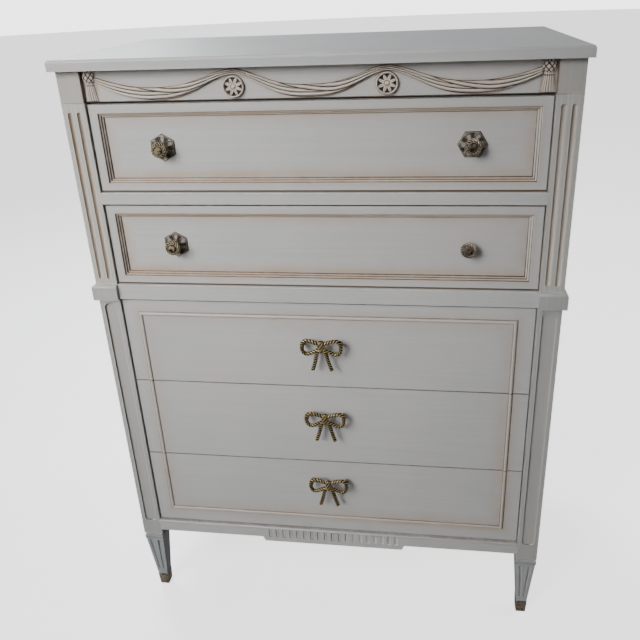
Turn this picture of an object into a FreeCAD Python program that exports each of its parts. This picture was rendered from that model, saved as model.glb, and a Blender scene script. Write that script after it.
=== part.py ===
import FreeCAD, Part
import Sketcher
import math
import os

# A tallboy: a painted chest of five drawers in two tiers on four tapered legs.
# X runs across the front, -Y is the front, +Z is up. The origin lies on the floor under
# the middle of the whole piece, pulls included.

# Driving sizes in millimetres, plain counts and shares. Every other size follows from these.
SIZES = [
    # Case
    ("case_width", 914.0),
    ("case_depth", 446.0),
    ("leg_height", 176.4),
    ("lower_post_height", 626.8),
    ("waist_height", 33.0),
    ("upper_post_height", 361.4),
    ("cap_height", 57.8),
    ("post_width", 44.6),
    ("post_depth", 44.6),
    ("side_thickness", 19.0),
    ("back_thickness", 6.0),
    ("back_inset", 2.0),
    # Top board
    ("top_thickness", 20.0),
    ("top_side_overhang", 8.0),
    ("top_front_overhang", 14.0),
    ("top_edge_radius", 6.0),
    # Frieze
    ("frieze_setback", 8.5),
    ("frieze_thickness", 16.0),
    # Rails
    ("upper_rail_height", 23.0),
    ("dust_board_thickness", 12.0),
    ("dust_board_rise", 5.0),
    # Apron
    ("apron_lift", 13.6),
    ("apron_height", 32.4),
    ("apron_thickness", 22.0),
    ("apron_lip_height", 8.0),
    ("apron_lip_reach", 3.0),
    ("apron_drop_depth", 12.0),
    ("apron_drop_width", 328.0),
    ("apron_drop_slant", 5.5),
    ("apron_flute_count", 19),
    ("apron_flute_pitch", 16.2),
    ("apron_flute_radius", 4.4),
    ("apron_flute_depth", 2.2),
    ("apron_flute_length", 24.0),
    ("apron_flute_foot", 12.5),
    # Posts and waist blocks
    ("post_flute_radius", 4.6),
    ("post_flute_spacing", 17.8),
    ("post_flute_head", 16.0),
    ("post_flute_foot", 10.8),
    ("post_panel_width", 26.5),
    ("post_panel_depth", 4.0),
    ("post_panel_head", 9.0),
    ("post_panel_foot", 41.5),
    ("post_panel_corner", 8.0),
    ("waist_block_reach", 7.5),
    ("waist_block_radius", 7.0),
    # Legs
    ("neck_height", 7.0),
    ("neck_inset", 3.0),
    ("collar_height", 9.5),
    ("shaft_top_width", 42.0),
    ("shaft_foot_width", 23.4),
    ("ferrule_height", 34.0),
    ("ferrule_wall", 1.2),
    ("ferrule_clearance", 0.2),
    ("ferrule_rim", 0.8),
    ("leg_flute_top_radius", 4.0),
    ("leg_flute_foot_radius", 2.2),
    ("leg_flute_top_spacing", 20.0),
    ("leg_flute_foot_spacing", 9.0),
    ("leg_flute_head", 6.5),
    ("leg_flute_foot", 18.0),
    # Drawers
    ("drawer_setback", 5.5),
    ("drawer_side_gap", 2.0),
    ("drawer_head_gap", 3.2),
    ("drawer_foot_gap", 0.8),
    ("drawer_between_gap", 1.5),
    ("lower_front_height", 191.2),
    ("front_thickness", 22.0),
    ("drawer_back_gap", 32.5),
    ("drawer_board", 12.0),
    ("drawer_box_inset", 2.5),
    ("drawer_box_head", 14.0),
    ("drawer_back_drop", 6.0),
    ("bottom_thickness", 5.0),
    ("bottom_rise", 13.0),
    ("bottom_groove", 5.0),
    ("housing_depth", 6.0),
    ("guide_width", 32.0),
    ("guide_height", 8.0),
    ("guide_clearance", 1.0),
    # Frame mouldings on the two upper drawers
    ("moulding_margin", 17.5),
    ("moulding_step_width", 3.5),
    ("moulding_step_depth", 3.0),
    ("moulding_round", 1.7),
    # Half-round bead round the three lower drawers
    ("bead_radius", 3.6),
    ("bead_side_inset", 35.4),
    ("bead_head_inset", 31.0),
    ("bead_foot_inset", 36.0),
    # Carved drapery swag
    ("swag_relief", 7.0),
    ("swag_crown_top", 53.0),
    ("swag_crown_foot", 44.5),
    ("swag_low_top", 24.0),
    ("swag_low_foot", 3.4),
    ("swag_end_top", 44.0),
    ("swag_end_foot", 33.0),
    ("swag_low_share", 0.602),
    ("swag_end_gap", 0.3),
    ("swag_step", 12.5),
    ("swag_crown_power_share", 1.45),
    ("swag_end_power_share", 1.85),
    # Rosettes and tassels
    ("rosette_place_share", 0.325),
    ("rosette_height", 23.0),
    ("rosette_radius", 19.6),
    ("rosette_rim", 3.6),
    ("rosette_relief", 6.0),
    ("rosette_boss_radius", 3.6),
    ("tassel_side_gap", 1.2),
    ("tassel_knot_height", 44.5),
    ("tassel_knot_radius", 12.2),
    ("tassel_knot_relief", 8.0),
    ("tassel_skirt_top_width", 15.0),
    ("tassel_skirt_foot_width", 24.0),
    ("tassel_skirt_foot", 2.6),
    ("tassel_cord_count", 7),
    ("tassel_relief", 5.5),
    # Knobs and hexagonal backplates
    ("knob_inset", 129.4),
    ("knob_height_share", 0.50),
    ("knob_radius", 15.5),
    ("knob_neck_radius", 6.5),
    ("knob_back_radius", 12.0),
    ("knob_face_radius", 12.5),
    ("knob_boss_radius", 7.5),
    ("knob_crown_radius", 3.6),
    ("knob_reach", 27.0),
    ("knob_lobe_count", 15),
    ("knob_lobe_depth", 1.6),
    ("plate_width", 46.0),
    ("plate_thickness", 2.6),
    ("plate_dish", 1.2),
    ("plate_rim", 2.4),
    ("plate_petal_radius", 4.0),
    ("plate_petal_circle", 15.0),
    ("screw_radius", 2.0),
    ("screw_hole_clearance", 0.3),
    ("screw_head_radius", 4.2),
    ("screw_head_height", 3.0),
    # Rope bow pulls
    ("pull_centres", 76.2),
    ("pull_standoff", 20.0),
    ("pull_rope_radius", 4.2),
    ("pull_loop_outset", 1.6),
    ("pull_loop_top", 13.5),
    ("pull_loop_foot", 16.5),
    ("pull_loop_corner", 9.0),
    ("pull_knot_height", 24.0),
    ("pull_knot_width", 15.0),
    ("pull_knot_depth", 11.0),
    ("pull_throat_top", 7.0),
    ("pull_throat_foot", 5.5),
    ("pull_tail_top_spacing", 17.0),
    ("pull_tail_foot_spacing", 39.0),
    ("pull_tail_length", 53.5),
    ("pull_post_radius", 4.0),
    ("pull_height_3_share", 0.53),
    ("pull_height_4_share", 0.631),
    ("pull_height_5_share", 0.726),
]

# How close two lengths are that count as the same, and the corners of a flat face to its plane.
NEAR = 1e-4
FLAT = 1e-7
# Steps of the frame moulding, and facets of the small turned and twisted pieces, as counts.
MOULDING_STEPS = 3
ROPE_SIDES = 8
TURNED_SIDES = 12
CORNER_STEPS = 3


class Measure:
    """A number together with the cell formula that gives it."""

    def __init__(self, value, formula):
        self.value = value
        self.formula = formula

    def __float__(self):
        return float(self.value)

    def __neg__(self):
        return Measure(-self.value, "(0 - {})".format(self.formula))

    def __add__(self, other):
        return combine(self, "+", other)

    def __radd__(self, other):
        return combine(other, "+", self)

    def __sub__(self, other):
        return combine(self, "-", other)

    def __rsub__(self, other):
        return combine(other, "-", self)

    def __mul__(self, other):
        return combine(self, "*", other)

    def __rmul__(self, other):
        return combine(other, "*", self)

    def __truediv__(self, other):
        return combine(self, "/", other)


def combine(first, sign, second):
    """Join two measures or plain numbers into one measure."""
    a, b = float(first), float(second)
    value = {"+": a + b, "-": a - b, "*": a * b, "/": a / b if b else math.inf}[sign]
    return Measure(value, "({} {} {})".format(formula_of(first), sign, formula_of(second)))


def formula_of(length):
    return length.formula if isinstance(length, Measure) else repr(length)


class Sheet:
    """The spreadsheet of driving sizes, read by name."""

    def __init__(self, doc, table):
        self.cells = doc.addObject("Spreadsheet::Sheet", "Sizes")
        for row, (name, number) in enumerate(table, start=1):
            self.cells.set("A{}".format(row), name)
            self.cells.set("B{}".format(row), str(number))
            self.cells.setAlias("B{}".format(row), name)
        doc.recompute()

    def __getattr__(self, name):
        return Measure(self.cells.get(name), "Sizes." + name)


doc = FreeCAD.newDocument("tallboy")
size = Sheet(doc, SIZES)


def bind(thing, prop, length):
    """Set a property from a measure, bound to the sheet, or from a plain number."""
    if isinstance(length, Measure):
        thing.setExpression(prop, length.formula)
    else:
        setattr(thing, prop, length)


def place(thing, x=0.0, y=0.0, z=0.0):
    """Bind where a sub-part stands."""
    for axis, length in (("x", x), ("y", y), ("z", z)):
        if isinstance(length, Measure):
            thing.setExpression("Placement.Base." + axis, length.formula)


def box(name, x_span, y_span, z_span):
    """A board between two places on each axis."""
    board = doc.addObject("Part::Box", name)
    bind(board, "Length", x_span[1] - x_span[0])
    bind(board, "Width", y_span[1] - y_span[0])
    bind(board, "Height", z_span[1] - z_span[0])
    place(board, x_span[0], y_span[0], z_span[0])
    return board


def group(name, pieces):
    """Several separate solids that share one name."""
    compound = doc.addObject("Part::Compound", name)
    compound.Links = pieces
    return compound


def cut(name, base, tool):
    piece = doc.addObject("Part::Cut", name)
    piece.Base = base
    piece.Tool = tool
    return piece


def mirrored(name, source):
    """The same piece on the other side of the middle plane."""
    piece = doc.addObject("Part::Mirroring", name)
    piece.Source = source
    piece.Normal = FreeCAD.Vector(1, 0, 0)
    return piece


def fixed(name, shape, x=0.0, y=0.0, z=0.0):
    """A sub-part whose form is worked out here and whose place is bound to the sheet."""
    piece = doc.addObject("Part::Feature", name)
    piece.Shape = shape
    place(piece, x, y, z)
    return piece


def faceted(rings):
    """A solid skinned with flat faces over closed rings that all have as many corners."""
    faces = [Part.Face(Part.makePolygon(ring + ring[:1])) for ring in (rings[0], rings[-1])]
    for low, high in zip(rings, rings[1:]):
        for number in range(len(low)):
            corners = [low[number - 1], low[number], high[number], high[number - 1]]
            across = (corners[1] - corners[0]).cross(corners[2] - corners[0]).normalize()
            if abs(across.dot(corners[3] - corners[0])) < FLAT:
                panes = [corners]
            else:
                panes = [corners[:3], corners[2:] + corners[:1]]
            faces += [Part.Face(Part.makePolygon(pane + pane[:1])) for pane in panes]
    solid = Part.makeSolid(Part.makeShell(faces))
    return solid if solid.Volume > 0 else solid.reversed()


def plane_of(body, role):
    return next(item for item in body.Origin.OriginFeatures if item.Role == role)


def sketch_on(body, role, name, lift=0.0):
    """An empty sketch on one of the body's origin planes, lifted along its normal."""
    sketch = body.newObject("Sketcher::SketchObject", name)
    sketch.AttachmentSupport = [(plane_of(body, role), "")]
    sketch.MapMode = "FlatFace"
    if isinstance(lift, Measure):
        sketch.setExpression("AttachmentOffset.Base.z", lift.formula)
    return sketch


def bind_dimension(sketch, index, length):
    if isinstance(length, Measure):
        sketch.setExpression("Constraints[{}]".format(index), length.formula)


def pin_along(sketch, kind, curve, point, along):
    """Tie a point of a sketch on one axis by its dimension from the sketch's origin."""
    if float(along) == 0:
        axis = -2 if kind == "DistanceX" else -1
        sketch.addConstraint(Sketcher.Constraint("PointOnObject", curve, point, axis))
        return
    if float(along) > 0:
        dimension = Sketcher.Constraint(kind, -1, 1, curve, point, float(along))
    else:
        dimension = Sketcher.Constraint(kind, curve, point, -1, 1, -float(along))
        along = -along
    bind_dimension(sketch, sketch.addConstraint(dimension), along)


def pin(sketch, curve, point, x, y):
    """Tie a point of a sketch to its place by two dimensions."""
    pin_along(sketch, "DistanceX", curve, point, x)
    pin_along(sketch, "DistanceY", curve, point, y)


def fix_arc(sketch, curve, start, end, radius):
    """Fix an arc by its radius, and a half circle by a middle that is level with its ends."""
    width = math.hypot(float(end[0]) - float(start[0]), float(end[1]) - float(start[1]))
    if not near(width, radius * 2):
        dimension = Sketcher.Constraint("Radius", curve, float(radius))
        bind_dimension(sketch, sketch.addConstraint(dimension), radius)
    elif near(start[1], end[1]):
        pin_along(sketch, "DistanceY", curve, 3, start[1])
    else:
        pin_along(sketch, "DistanceX", curve, 3, start[0])


def outline(sketch, corners, arcs=None):
    """A closed outline drawn counterclockwise through corners, with arcs between some of them.

    An arc is given as the number of its first corner and its radius; it bulges outwards."""
    arcs = arcs or {}
    first = sketch.GeometryCount
    count = len(corners)
    spots = [FreeCAD.Vector(float(x), float(y), 0) for x, y in corners]
    for number in range(count):
        start, end = spots[number], spots[(number + 1) % count]
        if number in arcs:
            sketch.addGeometry(bulge(start, end, float(arcs[number])))
        else:
            sketch.addGeometry(Part.LineSegment(start, end))
    for number in range(count):
        after = first + (number + 1) % count
        sketch.addConstraint(Sketcher.Constraint("Coincident", first + number, 2, after, 1))
    for number, radius in arcs.items():
        ends = corners[number], corners[(number + 1) % count]
        fix_arc(sketch, first + number, *ends, radius)
    for number, (x, y) in enumerate(corners):
        pin(sketch, first + number, 1, x, y)


def bulge(start, end, radius):
    """The shorter arc from start to end that bulges to the right of the way it runs."""
    chord = end.sub(start)
    half = chord.Length / 2
    rise = math.sqrt(max(radius * radius - half * half, 0.0))
    left = FreeCAD.Vector(-chord.y, chord.x, 0).normalize()
    centre = start.add(chord.multiply(1 / 2)).add(left.multiply(rise))
    circle = Part.Circle(centre, FreeCAD.Vector(0, 0, 1), radius)
    angles = [math.atan2(spot.y - centre.y, spot.x - centre.x) for spot in (start, end)]
    return Part.ArcOfCircle(circle, angles[0], angles[1])


def circle(sketch, x, y, radius):
    index = sketch.addGeometry(
        Part.Circle(FreeCAD.Vector(float(x), float(y), 0), FreeCAD.Vector(0, 0, 1), float(radius)))
    dimension = Sketcher.Constraint("Radius", index, float(radius))
    bind_dimension(sketch, sketch.addConstraint(dimension), radius)
    pin(sketch, index, 3, x, y)


def rectangle(x_span, y_span):
    """The corners of a rectangle, counterclockwise."""
    return [(x_span[0], y_span[0]), (x_span[1], y_span[0]),
            (x_span[1], y_span[1]), (x_span[0], y_span[1])]


def new_body(name):
    return doc.addObject("PartDesign::Body", name)


def feature(body, kind, name, **settings):
    """A PartDesign feature on a body, its sizes bound to the sheet."""
    step = body.newObject("PartDesign::" + kind, name)
    for prop, setting in settings.items():
        bind(step, prop, setting)
    body.Tip = step
    return step


def removes(body, kind, name, **settings):
    """A feature that has to take something away from its body."""
    doc.recompute()
    before = body.Shape.Volume
    step = feature(body, kind, name, **settings)
    doc.recompute()
    if not body.Shape.Volume < before:
        raise RuntimeError("{} on {} cuts nothing".format(name, body.Label))
    return step


def edges_where(shape, test):
    """The names of the straight edges whose two ends both pass a test."""
    return ["Edge{}".format(number) for number, edge in enumerate(shape.Edges, start=1)
            if all(test(vertex.Point) for vertex in edge.Vertexes)]


def near(a, b):
    return abs(float(a) - float(b)) < NEAR


# Places that several sub-parts share
half_width = size.case_width / 2
pull_front = size.pull_standoff + size.pull_knot_depth / 2 - size.drawer_setback
front = -((size.case_depth - pull_front) / 2)
rear = front + size.case_depth
post_back = front + size.post_depth
opening_half = half_width - size.post_width
side_inner = half_width - size.side_thickness
waist_foot = size.leg_height + size.lower_post_height
waist_top = waist_foot + size.waist_height
cap_foot = waist_top + size.upper_post_height
case_top = cap_foot + size.cap_height
back_rear = rear - size.back_inset
back_front = back_rear - size.back_thickness
frieze_face = front + size.frieze_setback
apron_foot = size.leg_height + size.apron_lift
apron_top = apron_foot + size.apron_height
opening_height = (size.upper_post_height - size.upper_rail_height) / 2
upper_rail_foot = waist_top + opening_height
upper_rail_top = upper_rail_foot + size.upper_rail_height
drawer_face = front + size.drawer_setback
front_back = drawer_face + size.front_thickness
front_half = opening_half - size.drawer_side_gap
box_half = front_half - size.drawer_box_inset
box_rear = back_front - size.drawer_back_gap
moulding_depth = size.moulding_step_depth * MOULDING_STEPS
post_centre = half_width - size.post_width / 2
knob_centre = front_half - size.knob_inset
tassel_centre = opening_half - size.tassel_side_gap - size.tassel_knot_radius
rosette_centre = opening_half * size.rosette_place_share
swag_end = tassel_centre - size.tassel_knot_radius - size.swag_end_gap
swag_low = rosette_centre + (swag_end - rosette_centre) * size.swag_low_share


class Drawer:
    """Where one drawer's front and box stand."""

    def __init__(self, number, front_foot, front_height, box_foot, ceiling):
        self.number = number
        self.name = "drawer_{}".format(number)
        self.front_foot = front_foot
        self.front_height = front_height
        self.box_foot = box_foot
        self.box_top = ceiling - size.drawer_box_head
        self.upper = number <= 2

    def pull_height(self):
        """How far up the front its knobs or its pull are fixed."""
        share = size.knob_height_share
        if not self.upper:
            share = getattr(size, "pull_height_{}_share".format(self.number))
        return self.front_height * share

    def pull_places(self):
        """The places across the front where screws come through."""
        reach = knob_centre if self.upper else size.pull_centres / 2
        return [-reach, reach]


def upper_drawer(number, opening_foot):
    gaps = size.drawer_foot_gap + size.drawer_head_gap
    return Drawer(number, opening_foot + size.drawer_foot_gap, opening_height - gaps,
                  opening_foot, opening_foot + opening_height)


def lower_drawers():
    """Three fronts that meet with a thin gap; the upper one takes the height that is left."""
    foot_5 = apron_top + size.drawer_foot_gap
    step = size.lower_front_height + size.drawer_between_gap
    foot_4 = foot_5 + step
    foot_3 = foot_4 + step
    height_3 = waist_foot - size.drawer_head_gap - foot_3
    board_foot = size.dust_board_rise - size.dust_board_thickness
    return [
        Drawer(3, foot_3, height_3, foot_3 + size.dust_board_rise, waist_foot),
        Drawer(4, foot_4, size.lower_front_height, foot_4 + size.dust_board_rise,
               foot_3 + board_foot),
        Drawer(5, foot_5, size.lower_front_height, apron_top, foot_4 + board_foot),
    ]


drawers = [upper_drawer(1, upper_rail_top), upper_drawer(2, waist_top)] + lower_drawers()


# Case

def top_board():
    """The top with its rounded upper edge, flush with the back of the case."""
    body = new_body("top_board")
    reach = half_width + size.top_side_overhang
    nose = front - size.top_front_overhang
    outline(sketch_on(body, "XY_Plane", "top_outline"), rectangle((-reach, reach), (nose, rear)))
    pad = feature(body, "Pad", "top_pad", Profile=doc.top_outline, Length=size.top_thickness)
    doc.recompute()
    rounded = edges_where(pad.Shape, lambda p: near(p.z, size.top_thickness) and (
        near(p.y, nose) or near(abs(p.x), reach)))
    rounded = [name for name in rounded if not all(
        near(v.Point.y, rear) for v in pad.Shape.getElement(name).Vertexes)]
    edge = body.newObject("PartDesign::Fillet", "top_edge")
    edge.Base = (pad, rounded)
    bind(edge, "Radius", size.top_edge_radius)
    body.Tip = edge
    place(body, z=case_top)


def side_panels():
    left = box("left_side_panel", (-half_width, -side_inner), (post_back, rear),
               (size.leg_height, case_top))
    right = box("right_side_panel", (side_inner, half_width), (post_back, rear),
                (size.leg_height, case_top))
    return left, right


def back_panel():
    box("back_panel", (-side_inner, side_inner), (back_front, back_rear),
        (size.leg_height, case_top))


def frieze_panel():
    box("frieze_panel", (-opening_half, opening_half),
        (frieze_face, frieze_face + size.frieze_thickness), (cap_foot, case_top))


def cap_blocks():
    """The plain blocks that carry the posts' lines up to the top on both sides of the frieze."""
    right = box("right_cap_block", (opening_half, half_width), (front, post_back),
                (cap_foot, case_top))
    group("cap_blocks", [right, mirrored("left_cap_block", right)])


def post_blank(body, height):
    """A square post standing on its own origin, its front face through it."""
    half = size.post_width / 2
    sketch = sketch_on(body, "XY_Plane", body.Name + "_section")
    outline(sketch, rectangle((-half, half), (0.0, size.post_depth)))
    feature(body, "Pad", body.Name + "_pad", Profile=sketch, Length=height)


# Where the nose of a flute turns, as a share of its radius.
FLUTE_NOSE_SHARE = 0.29


def upper_post(name, centre):
    """A post with two stopped flutes, each cut as by a blunt-nosed cutter."""
    body = new_body(name)
    post_blank(body, size.upper_post_height)
    sketch = sketch_on(body, "XZ_Plane", name + "_flute_outline")
    sketch.setExpression("AttachmentOffset.Base.x", (-(size.post_flute_spacing / 2)).formula)
    radius = size.post_flute_radius
    foot = size.post_flute_foot
    head = size.upper_post_height - size.post_flute_head
    bevel = radius * FLUTE_NOSE_SHARE
    outline(sketch, [(0.0, foot), (radius - bevel, foot + bevel), (radius, foot + radius),
                     (radius, head - radius), (radius - bevel, head - bevel), (0.0, head)])
    groove = removes(body, "Groove", name + "_flute", Profile=sketch,
                     ReferenceAxis=(sketch, ["V_Axis"]), Angle=360.0)
    pattern = body.newObject("PartDesign::LinearPattern", name + "_flutes")
    pattern.Originals = [groove]
    pattern.Direction = (sketch, ["H_Axis"])
    pattern.Mode = "Spacing"
    bind(pattern, "Offset", size.post_flute_spacing)
    pattern.Occurrences = 2
    body.Tip = pattern
    place(body, centre, front, waist_top)


def lower_post(name, centre):
    """A post with one long sunk panel, arched at its head and rounded at its foot."""
    body = new_body(name)
    post_blank(body, size.lower_post_height)
    half = size.post_panel_width / 2
    foot = size.post_panel_foot
    head = size.lower_post_height - size.post_panel_head
    corner = size.post_panel_corner
    corners = [(-half + corner, foot), (half - corner, foot), (half, foot + corner),
               (half, head - half), (-half, head - half), (-half, foot + corner)]
    sketch = sketch_on(body, "XZ_Plane", name + "_panel_outline")
    outline(sketch, corners, {1: corner, 3: half, 5: corner})
    removes(body, "Pocket", name + "_panel", Profile=sketch, Length=size.post_panel_depth)
    place(body, centre, front, size.leg_height)


def waist_blocks():
    """The blocks between the posts, standing proud with rounded upper edges."""
    body = new_body("right_waist_block")
    body.Label = "waist block pattern"
    reach = size.post_width + size.waist_block_reach
    sketch = sketch_on(body, "XY_Plane", "waist_block_outline")
    outline(sketch, rectangle((0.0, reach), (-size.waist_block_reach, size.post_depth)))
    pad = feature(body, "Pad", "waist_block_pad", Profile=sketch, Length=size.waist_height)
    doc.recompute()
    rounded = edges_where(pad.Shape, lambda p: near(p.z, size.waist_height) and near(
        p.y, -size.waist_block_reach))
    rounded += edges_where(pad.Shape, lambda p: near(p.z, size.waist_height) and near(p.x, reach))
    edge = body.newObject("PartDesign::Fillet", "waist_block_edge")
    edge.Base = (pad, rounded)
    bind(edge, "Radius", size.waist_block_radius)
    body.Tip = edge
    place(body, opening_half, front, waist_foot)
    group("waist_blocks", [body, mirrored("left_waist_block", body)])


def rails():
    """The two rails that show between the posts."""
    across = (-opening_half, opening_half)
    box("upper_drawer_rail", across, (front, post_back), (upper_rail_foot, upper_rail_top))
    box("waist_rail", across, (front, post_back), (waist_foot, waist_top))


def apron_rail():
    """The apron with its dropped middle, a row of short flutes and a rounded lip."""
    body = new_body("apron_rail")
    drop = size.apron_drop_width / 2
    drop_foot = drop - size.apron_drop_slant
    low = -size.apron_drop_depth
    face = sketch_on(body, "XZ_Plane", "apron_outline")
    outline(face, [(-opening_half, 0.0), (-drop, 0.0), (-drop_foot, low), (drop_foot, low),
                   (drop, 0.0), (opening_half, 0.0), (opening_half, size.apron_height),
                   (-opening_half, size.apron_height)])
    feature(body, "Pad", "apron_pad", Profile=face, Length=size.apron_thickness, Reversed=True)
    lip = sketch_on(body, "YZ_Plane", "apron_lip_section", -opening_half)
    rise = size.apron_lip_height / 2
    reach = size.apron_lip_reach
    round_radius = (rise * rise + reach * reach) / (reach * 2)
    outline(lip, [(0.0, size.apron_height), (0.0, size.apron_height - size.apron_lip_height)],
            {0: round_radius})
    feature(body, "Pad", "apron_lip", Profile=lip, Length=opening_half * 2)
    cutter = sketch_on(body, "XY_Plane", "apron_flute_section",
                       size.apron_flute_foot - size.apron_drop_depth)
    first = -(size.apron_flute_pitch * (size.apron_flute_count - 1) / 2)
    circle(cutter, first, size.apron_flute_depth - size.apron_flute_radius,
           size.apron_flute_radius)
    flute = removes(body, "Pocket", "apron_flute", Profile=cutter,
                    Length=size.apron_flute_length, Reversed=True)
    pattern = body.newObject("PartDesign::LinearPattern", "apron_flutes")
    pattern.Originals = [flute]
    pattern.Direction = (cutter, ["H_Axis"])
    pattern.Mode = "Spacing"
    bind(pattern, "Offset", size.apron_flute_pitch)
    bind(pattern, "Occurrences", size.apron_flute_count)
    body.Tip = pattern
    place(body, 0.0, front, apron_foot)


def dust_boards():
    """The boards under the drawers, each with a guide rail along its middle."""
    tops = [upper_rail_top, waist_top, drawers[2].box_foot, drawers[3].box_foot, apron_top]
    boards = []
    guides = []
    guide_half = size.guide_width / 2
    for number, top in enumerate(tops, start=1):
        boards.append(box("dust_board_{}".format(number), (-side_inner, side_inner),
                          (post_back, back_front), (top - size.dust_board_thickness, top)))
        guides.append(box("drawer_guide_{}".format(number), (-guide_half, guide_half),
                          (post_back, back_front), (top, top + size.guide_height)))
    group("dust_boards", boards)
    group("drawer_guides", guides)


def corner_blocks():
    """The blocks inside the back corners that hold the rear legs."""
    foot = size.leg_height
    right = box("right_corner_block", (opening_half, side_inner),
                (rear - size.post_width, back_front),
                (foot, apron_top - size.dust_board_thickness))
    group("rear_corner_blocks", [right, mirrored("left_corner_block", right)])


# Legs

def square(body, name, width, lift):
    half = width / 2
    sketch = sketch_on(body, "XY_Plane", name, lift)
    outline(sketch, rectangle((-half, half), (-half, half)))
    return sketch


def wedge(body, kind, name, span, foot_width, head_width):
    """A square block, added or taken away, that tapers from its foot to its head."""
    step = body.newObject("PartDesign::{}Wedge".format(kind), name)
    step.AttachmentSupport = [(plane_of(body, "XZ_Plane"), "")]
    step.MapMode = "FlatFace"
    for prop, length in (("Ymin", span[0]), ("Ymax", span[1]),
                         ("Xmin", -foot_width / 2), ("Xmax", foot_width / 2),
                         ("Zmin", -foot_width / 2), ("Zmax", foot_width / 2),
                         ("X2min", -head_width / 2), ("X2max", head_width / 2),
                         ("Z2min", -head_width / 2), ("Z2max", head_width / 2)):
        bind(step, prop, length)
    body.Tip = step


def leg(name, x, y):
    """A square leg: a neck, a collar, a tapered shaft and the tip that the ferrule covers."""
    body = new_body(name)
    collar_foot = size.leg_height - size.neck_height - size.collar_height
    neck_foot = size.leg_height - size.neck_height
    tip_width = size.shaft_foot_width - size.ferrule_wall * 2
    wedge(body, "Additive", name + "_tip", (size.ferrule_wall, size.ferrule_height),
          tip_width - size.ferrule_wall, tip_width)
    wedge(body, "Additive", name + "_shaft", (size.ferrule_height, collar_foot),
          size.shaft_foot_width, size.shaft_top_width)
    collar = square(body, name + "_collar_outline", size.post_width, collar_foot)
    feature(body, "Pad", name + "_collar", Profile=collar, Length=size.collar_height)
    neck = square(body, name + "_neck_outline", size.post_width - size.neck_inset * 2, neck_foot)
    feature(body, "Pad", name + "_neck", Profile=neck, Length=size.neck_height)
    place(body, x, y)
    return body


def leg_flutes():
    """Two cutters for the front face, drawn together and narrowed towards the foot."""
    collar_foot = float(size.leg_height - size.neck_height - size.collar_height)
    foot_width, top_width = float(size.shaft_foot_width), float(size.shaft_top_width)
    narrowing = (top_width - foot_width) / 2 / (collar_foot - float(size.ferrule_height))
    foot_stop, head_stop = float(size.leg_flute_foot), float(size.leg_flute_head)
    ends = [(float(size.leg_flute_foot_radius), float(size.leg_flute_foot_spacing) / 2,
             foot_width / 2 + narrowing * foot_stop, float(size.ferrule_height) + foot_stop),
            (float(size.leg_flute_top_radius), float(size.leg_flute_top_spacing) / 2,
             top_width / 2 - narrowing * head_stop, collar_foot - head_stop)]
    cutters = []
    for side in (-1, 1):
        rings = []
        for radius, offset, reach, level in ends:
            turns = [2 * math.pi * number / TURNED_SIDES for number in range(TURNED_SIDES)]
            rings.append([FreeCAD.Vector(side * offset + radius * math.cos(turn),
                                         radius * math.sin(turn) - reach, level)
                          for turn in turns])
        cutters.append(faceted(rings))
    return Part.makeCompound(cutters)


def legs():
    """Four legs; the front two are fluted on their front faces."""
    inset = size.post_width / 2
    for side, word in ((-1, "left"), (1, "right")):
        blank = leg("front_{}_leg_blank".format(word), side * post_centre, front + inset)
        flutes = fixed("front_{}_leg_flutes".format(word), leg_flutes(),
                       side * post_centre, front + inset)
        cut("front_{}_leg".format(word), blank, flutes)
        leg("rear_{}_leg".format(word), side * post_centre, rear - inset)


def ferrule(name):
    """A cast cup over the tip of a leg, a little wider than the shaft above it."""
    body = new_body(name)
    rim = size.shaft_foot_width + size.ferrule_rim * 2
    base = rim - size.ferrule_wall * 3
    hollow = size.shaft_foot_width - size.ferrule_wall * 2 + size.ferrule_clearance * 2
    wedge(body, "Additive", name + "_shell", (0.0, size.ferrule_height), base, rim)
    wedge(body, "Subtractive", name + "_hollow", (size.ferrule_wall, size.ferrule_height),
          hollow - size.ferrule_wall, hollow)
    return body


def leg_ferrules():
    inset = size.post_width / 2
    cups = []
    for depth_word, y in (("front", front + inset), ("rear", rear - inset)):
        for side, word in ((-1, "left"), (1, "right")):
            cup = ferrule("{}_{}_ferrule".format(depth_word, word))
            place(cup, side * post_centre, y)
            cups.append(cup)
    group("leg_ferrules", cups)


# Drawers

def housings(body, drawer):
    """Stopped housings in the back of a front for the drawer's sides, and a groove between them
    for its bottom."""
    inner = box_half - size.drawer_board
    lift = drawer.box_foot - drawer.front_foot
    top = drawer.box_top - drawer.front_foot
    slots = sketch_on(body, "XZ_Plane", body.Name + "_housing_outline", -size.front_thickness)
    outline(slots, rectangle((inner, box_half), (lift, top)))
    outline(slots, rectangle((-box_half, -inner), (lift, top)))
    removes(body, "Pocket", body.Name + "_housings", Profile=slots, Length=size.housing_depth,
            Reversed=True)
    groove = sketch_on(body, "XZ_Plane", body.Name + "_groove_outline", -size.front_thickness)
    foot = lift + size.bottom_rise
    outline(groove, rectangle((-inner, inner), (foot, foot + size.bottom_thickness)))
    removes(body, "Pocket", body.Name + "_bottom_groove", Profile=groove,
            Length=size.housing_depth, Reversed=True)


def screw_holes(body, drawer):
    """Plain holes through the front for the screws of its knobs or its pull."""
    sketch = sketch_on(body, "XZ_Plane", body.Name + "_holes")
    for x in drawer.pull_places():
        circle(sketch, x, drawer.pull_height(), size.screw_radius + size.screw_hole_clearance)
    removes(body, "Pocket", body.Name + "_screw_holes", Profile=sketch,
            Length=size.front_thickness)


def front_blank(drawer):
    body = new_body(drawer.name + "_front")
    sketch = sketch_on(body, "XZ_Plane", body.Name + "_outline")
    outline(sketch, rectangle((-front_half, front_half), (0.0, drawer.front_height)))
    feature(body, "Pad", body.Name + "_pad", Profile=sketch, Length=size.front_thickness,
            Reversed=True)
    return body


def step_inset(step):
    """How far inside the front's edges a step of the frame moulding starts."""
    return size.moulding_margin + size.moulding_step_width * step


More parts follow.
